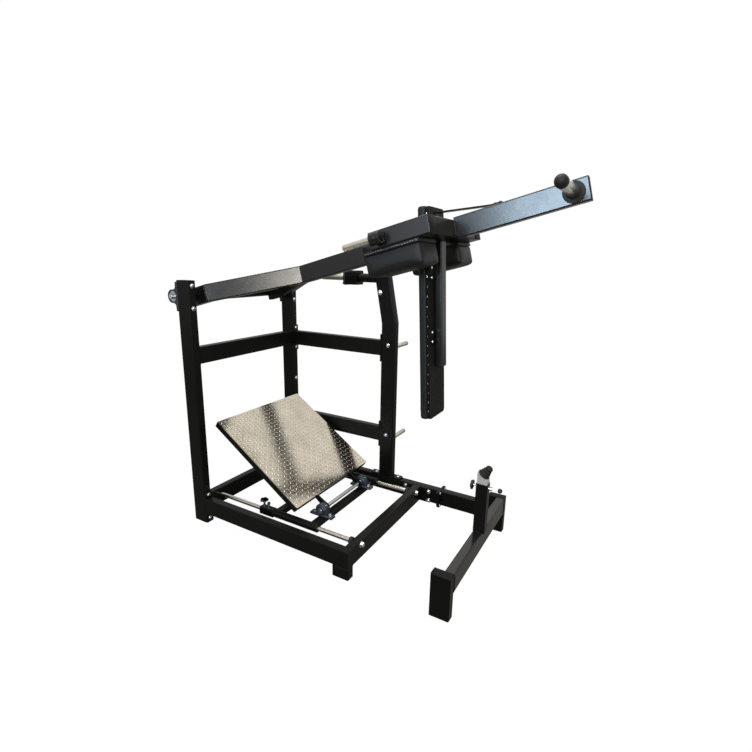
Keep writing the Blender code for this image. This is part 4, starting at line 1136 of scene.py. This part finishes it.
# %% Lever
LEVER_TIP = (0.300, SPAN_Y, 1.490)
LEVER_Z = LEVER_TIP[2]
FERRULE_X = 0.482
LEVER = ((0, 0), (0.0090, 0), (0.0118, 0.0015), (0.0130, 0.0050), (0.0130, 0.4180), (0, 0.4180))
bar("lever_bar", LEVER, LEVER_TIP, RIGHT, grip_steel, "safety_lever",
    ("lever_shaft",))
GRIP_TUBE = ((0, 0.0015), (0.0140, 0.0015), (0.0190, 0.0030), (0.0205, 0.0065), (0.0205, 0.1750),
             (0.0195, 0.1790), (0.0131, 0.1800), (0, 0.1800))
bar("lever_grip", GRIP_TUBE, LEVER_TIP, RIGHT, worn_grip, "safety_lever",
    ("lever_shaft",))
FERRULE = ((0.0131, 0), (0.0150, 0.0010), (0.0150, 0.0110), (0.0131, 0.0120), (0.0131, 0))
bar("lever_ferrule", FERRULE, (FERRULE_X, SPAN_Y, LEVER_Z), RIGHT, glint_painted_zinc, "safety_lever")


# %% Lever housing
def bored_plate(side, corner, hole, thick, place):
    """A square plate with round corners and a round hole, facing right from its place."""
    shape = bmesh.new()
    bmesh.ops.create_circle(shape, segments=36, radius=hole)
    corners = bmesh.ops.create_grid(shape, x_segments=1, y_segments=1, size=side / 2)["verts"]
    inside = list({face for vert in corners for face in vert.link_faces})
    bmesh.ops.delete(shape, geom=inside, context="FACES_ONLY")
    eased(shape, corners, corner, 6, "VERTICES")
    rims = [edge for edge in shape.edges if edge.is_valid]
    bmesh.ops.triangle_fill(shape, use_beauty=True, use_dissolve=False, edges=rims)
    bmesh.ops.recalc_face_normals(shape, faces=shape.faces)
    raised = bmesh.ops.extrude_face_region(shape, geom=shape.faces[:])["geom"]
    top = [item for item in raised if isinstance(item, bmesh.types.BMVert)]
    bmesh.ops.translate(shape, verts=top, vec=(0, 0, thick))
    bmesh.ops.transform(shape, matrix=facing(place, RIGHT), verts=shape.verts)
    return shape


FLANGE_FRONT = 0.5030
FLANGE_THICK = 0.0110
HOUSING_FRONT = FLANGE_FRONT + FLANGE_THICK
HOUSING_LONG = 0.0790
LID_THICK = 0.0080
BLOCK_HOLE = 0.0353
SLEEVE_HOLE = 0.0283
STUD = 0.0365
FLANGE_SIDE = 0.096
HOUSING_SIDE = 0.090
HOUSING_CORNER = 0.012
front = bored_plate(FLANGE_SIDE, 0.018, BLOCK_HOLE, FLANGE_THICK, (FLANGE_FRONT, SPAN_Y, LEVER_Z))
make("lever_flange", front, casting, "frame")
sides = bored_plate(HOUSING_SIDE, HOUSING_CORNER, BLOCK_HOLE, HOUSING_LONG,
                    (HOUSING_FRONT, SPAN_Y, LEVER_Z))
lid = bored_plate(HOUSING_SIDE, HOUSING_CORNER, SLEEVE_HOLE, LID_THICK,
                  (HOUSING_FRONT + HOUSING_LONG, SPAN_Y, LEVER_Z))
stamp(sides, lid, Matrix.Identity(4))
make("lever_housing", sides, black_coat, "frame")

studs = bmesh.new()
for y, z in ((-1, -1), (-1, 1), (1, -1), (1, 1)):
    centre = (FLANGE_FRONT, SPAN_Y + y * STUD, LEVER_Z + z * STUD)
    stamp(studs, small_hex, facing(centre, LEFT))
make("lever_flange_bolts", studs, zinc, "frame")

# %% [markdown]
# ## Knobs and pins
# The carriage and the bumper stop are each held by a lobed hand knob and a spring pin. Knobs are
# moulded on bright stems: a circle is pushed into lobes and raised in a few steps.


# %% Lobed knob
def lobed(radius, high, lobes=5):
    shape = bmesh.new()
    ring = bmesh.ops.create_circle(shape, cap_ends=True, segments=lobes * 8, radius=radius * 0.70)
    for vert in ring["verts"]:
        angle = math.atan2(vert.co.y, vert.co.x)
        vert.co *= 0.90 + 0.10 * math.cos(lobes * angle)
    tower(shape, ((1.33, high * 0.18), (1.07, high * 0.20), (1.0, high * 0.30), (0.96, high * 0.18),
                  (0.80, high * 0.14), (0.55, 0)))
    return shape


def knob(label, node, body, place, run, stem_r, stem, radius, high):
    wide = stem_r * 1.5
    top = stem + 0.003
    stem_outline = ((0, 0), (stem_r, 0), (stem_r, stem), (wide, stem), (wide, top), (0, top))
    bar(label + "_stem", stem_outline, place, run, zinc, body, (node,), steps=24)
    shape = lobed(radius, high)
    end = Vector(place) + Vector(run) * (stem + 0.0005)
    bmesh.ops.transform(shape, matrix=facing(end, run), verts=shape.verts)
    make(label + "_head", shape, plastic, body, (node,), smooth=50.0)


def ball_pin(label, node, body, place, run, stem_r, stem, radius):
    bar(label + "_stem", ((0, 0), (stem_r, 0), (stem_r, stem), (0, stem)), place, run, glint_painted_zinc,
        body, (node,), steps=24)
    steps = [(radius * math.sin(a), stem + radius * (0.8 - math.cos(a)))
             for a in (0.7 + 0.305 * i for i in range(9))]
    outline = [(0, steps[0][1])] + steps[:-1] + [(0, stem + radius * 1.8)]
    bar(label + "_ball", outline, place, run, plastic, body, (node,), steps=28)


LOCK_TOP = 0.1578
STOP_Z = 0.475
knob("carriage_knob", "carriage_lock_knob", "carriage_knob", (0.425, ROD_LINES[0], LOCK_TOP), UP,
     0.006, 0.042, 0.026, 0.014)
ball_pin("carriage_pin", "carriage_lock_pin", "carriage_pin", (0.460, ROD_LINES[0], LOCK_TOP), UP,
         0.0045, 0.028, 0.0098)
knob("stop_knob", "stop_knob", "stop_tube_knob", (1.6053, MID_Y, STOP_Z), LEFT,
     0.006, 0.021, 0.027, 0.014)
ball_pin("stop_pin", "stop_pin", "stop_tube_pin", (1.6607, MID_Y, STOP_Z), RIGHT,
         0.0045, 0.051, 0.0125)
BARREL = ((0.0101, 0), (0.0106, 0), (0.0106, 0.0140), (0.0098, 0.0150), (0.0052, 0.0150),
          (0.0052, 0.0144), (0.0101, 0.0144), (0.0101, 0))
bar("stop_pin_barrel", BARREL, (1.6645, MID_Y, STOP_Z), RIGHT, zinc, "frame")

# %% [markdown]
# ## Pad mounts
# The back pad's board is screwed to four short flat bars that are welded to the column.

# %% Mounting bars
mounts = bmesh.new()
mount_bolts = []
COLUMN_HALF = 0.0205
STRIP_END = 0.0770
STRIP_THICK = 0.0040
STRIP_HIGH = 0.075
PADS_HEAD_Z = 1.6958
MOUNT_DROP = 0.02
for z in (1.495, 1.184):
    for side in (-1, 1):
        low = -(PADS_HEAD_Z - z) / math.cos(PAD_LEAN) - MOUNT_DROP
        strip_y = side * (COLUMN_HALF + STRIP_END) / 2 + side * 0.0005
        strip = softened((STRIP_THICK, STRIP_END - COLUMN_HALF, STRIP_HIGH), 0.0012)
        stamp(mounts, strip, pads @ Matrix.Translation((0.0023, strip_y, low)))
        strip.free()
        for offset in (-0.0235, 0.0235):
            mount_bolts.append(((0.0045, side * 0.066, low + offset), RIGHT))
make("pad_mounts", mounts, black_coat, "pendulum")
heads_only = bmesh.new()
for place, out in mount_bolts:
    stamp(heads_only, dome_head, facing(place, out, pads) @ Matrix.Scale(0.75, 4))
make("pad_mount_bolts", heads_only, glint_painted_zinc, "pendulum")
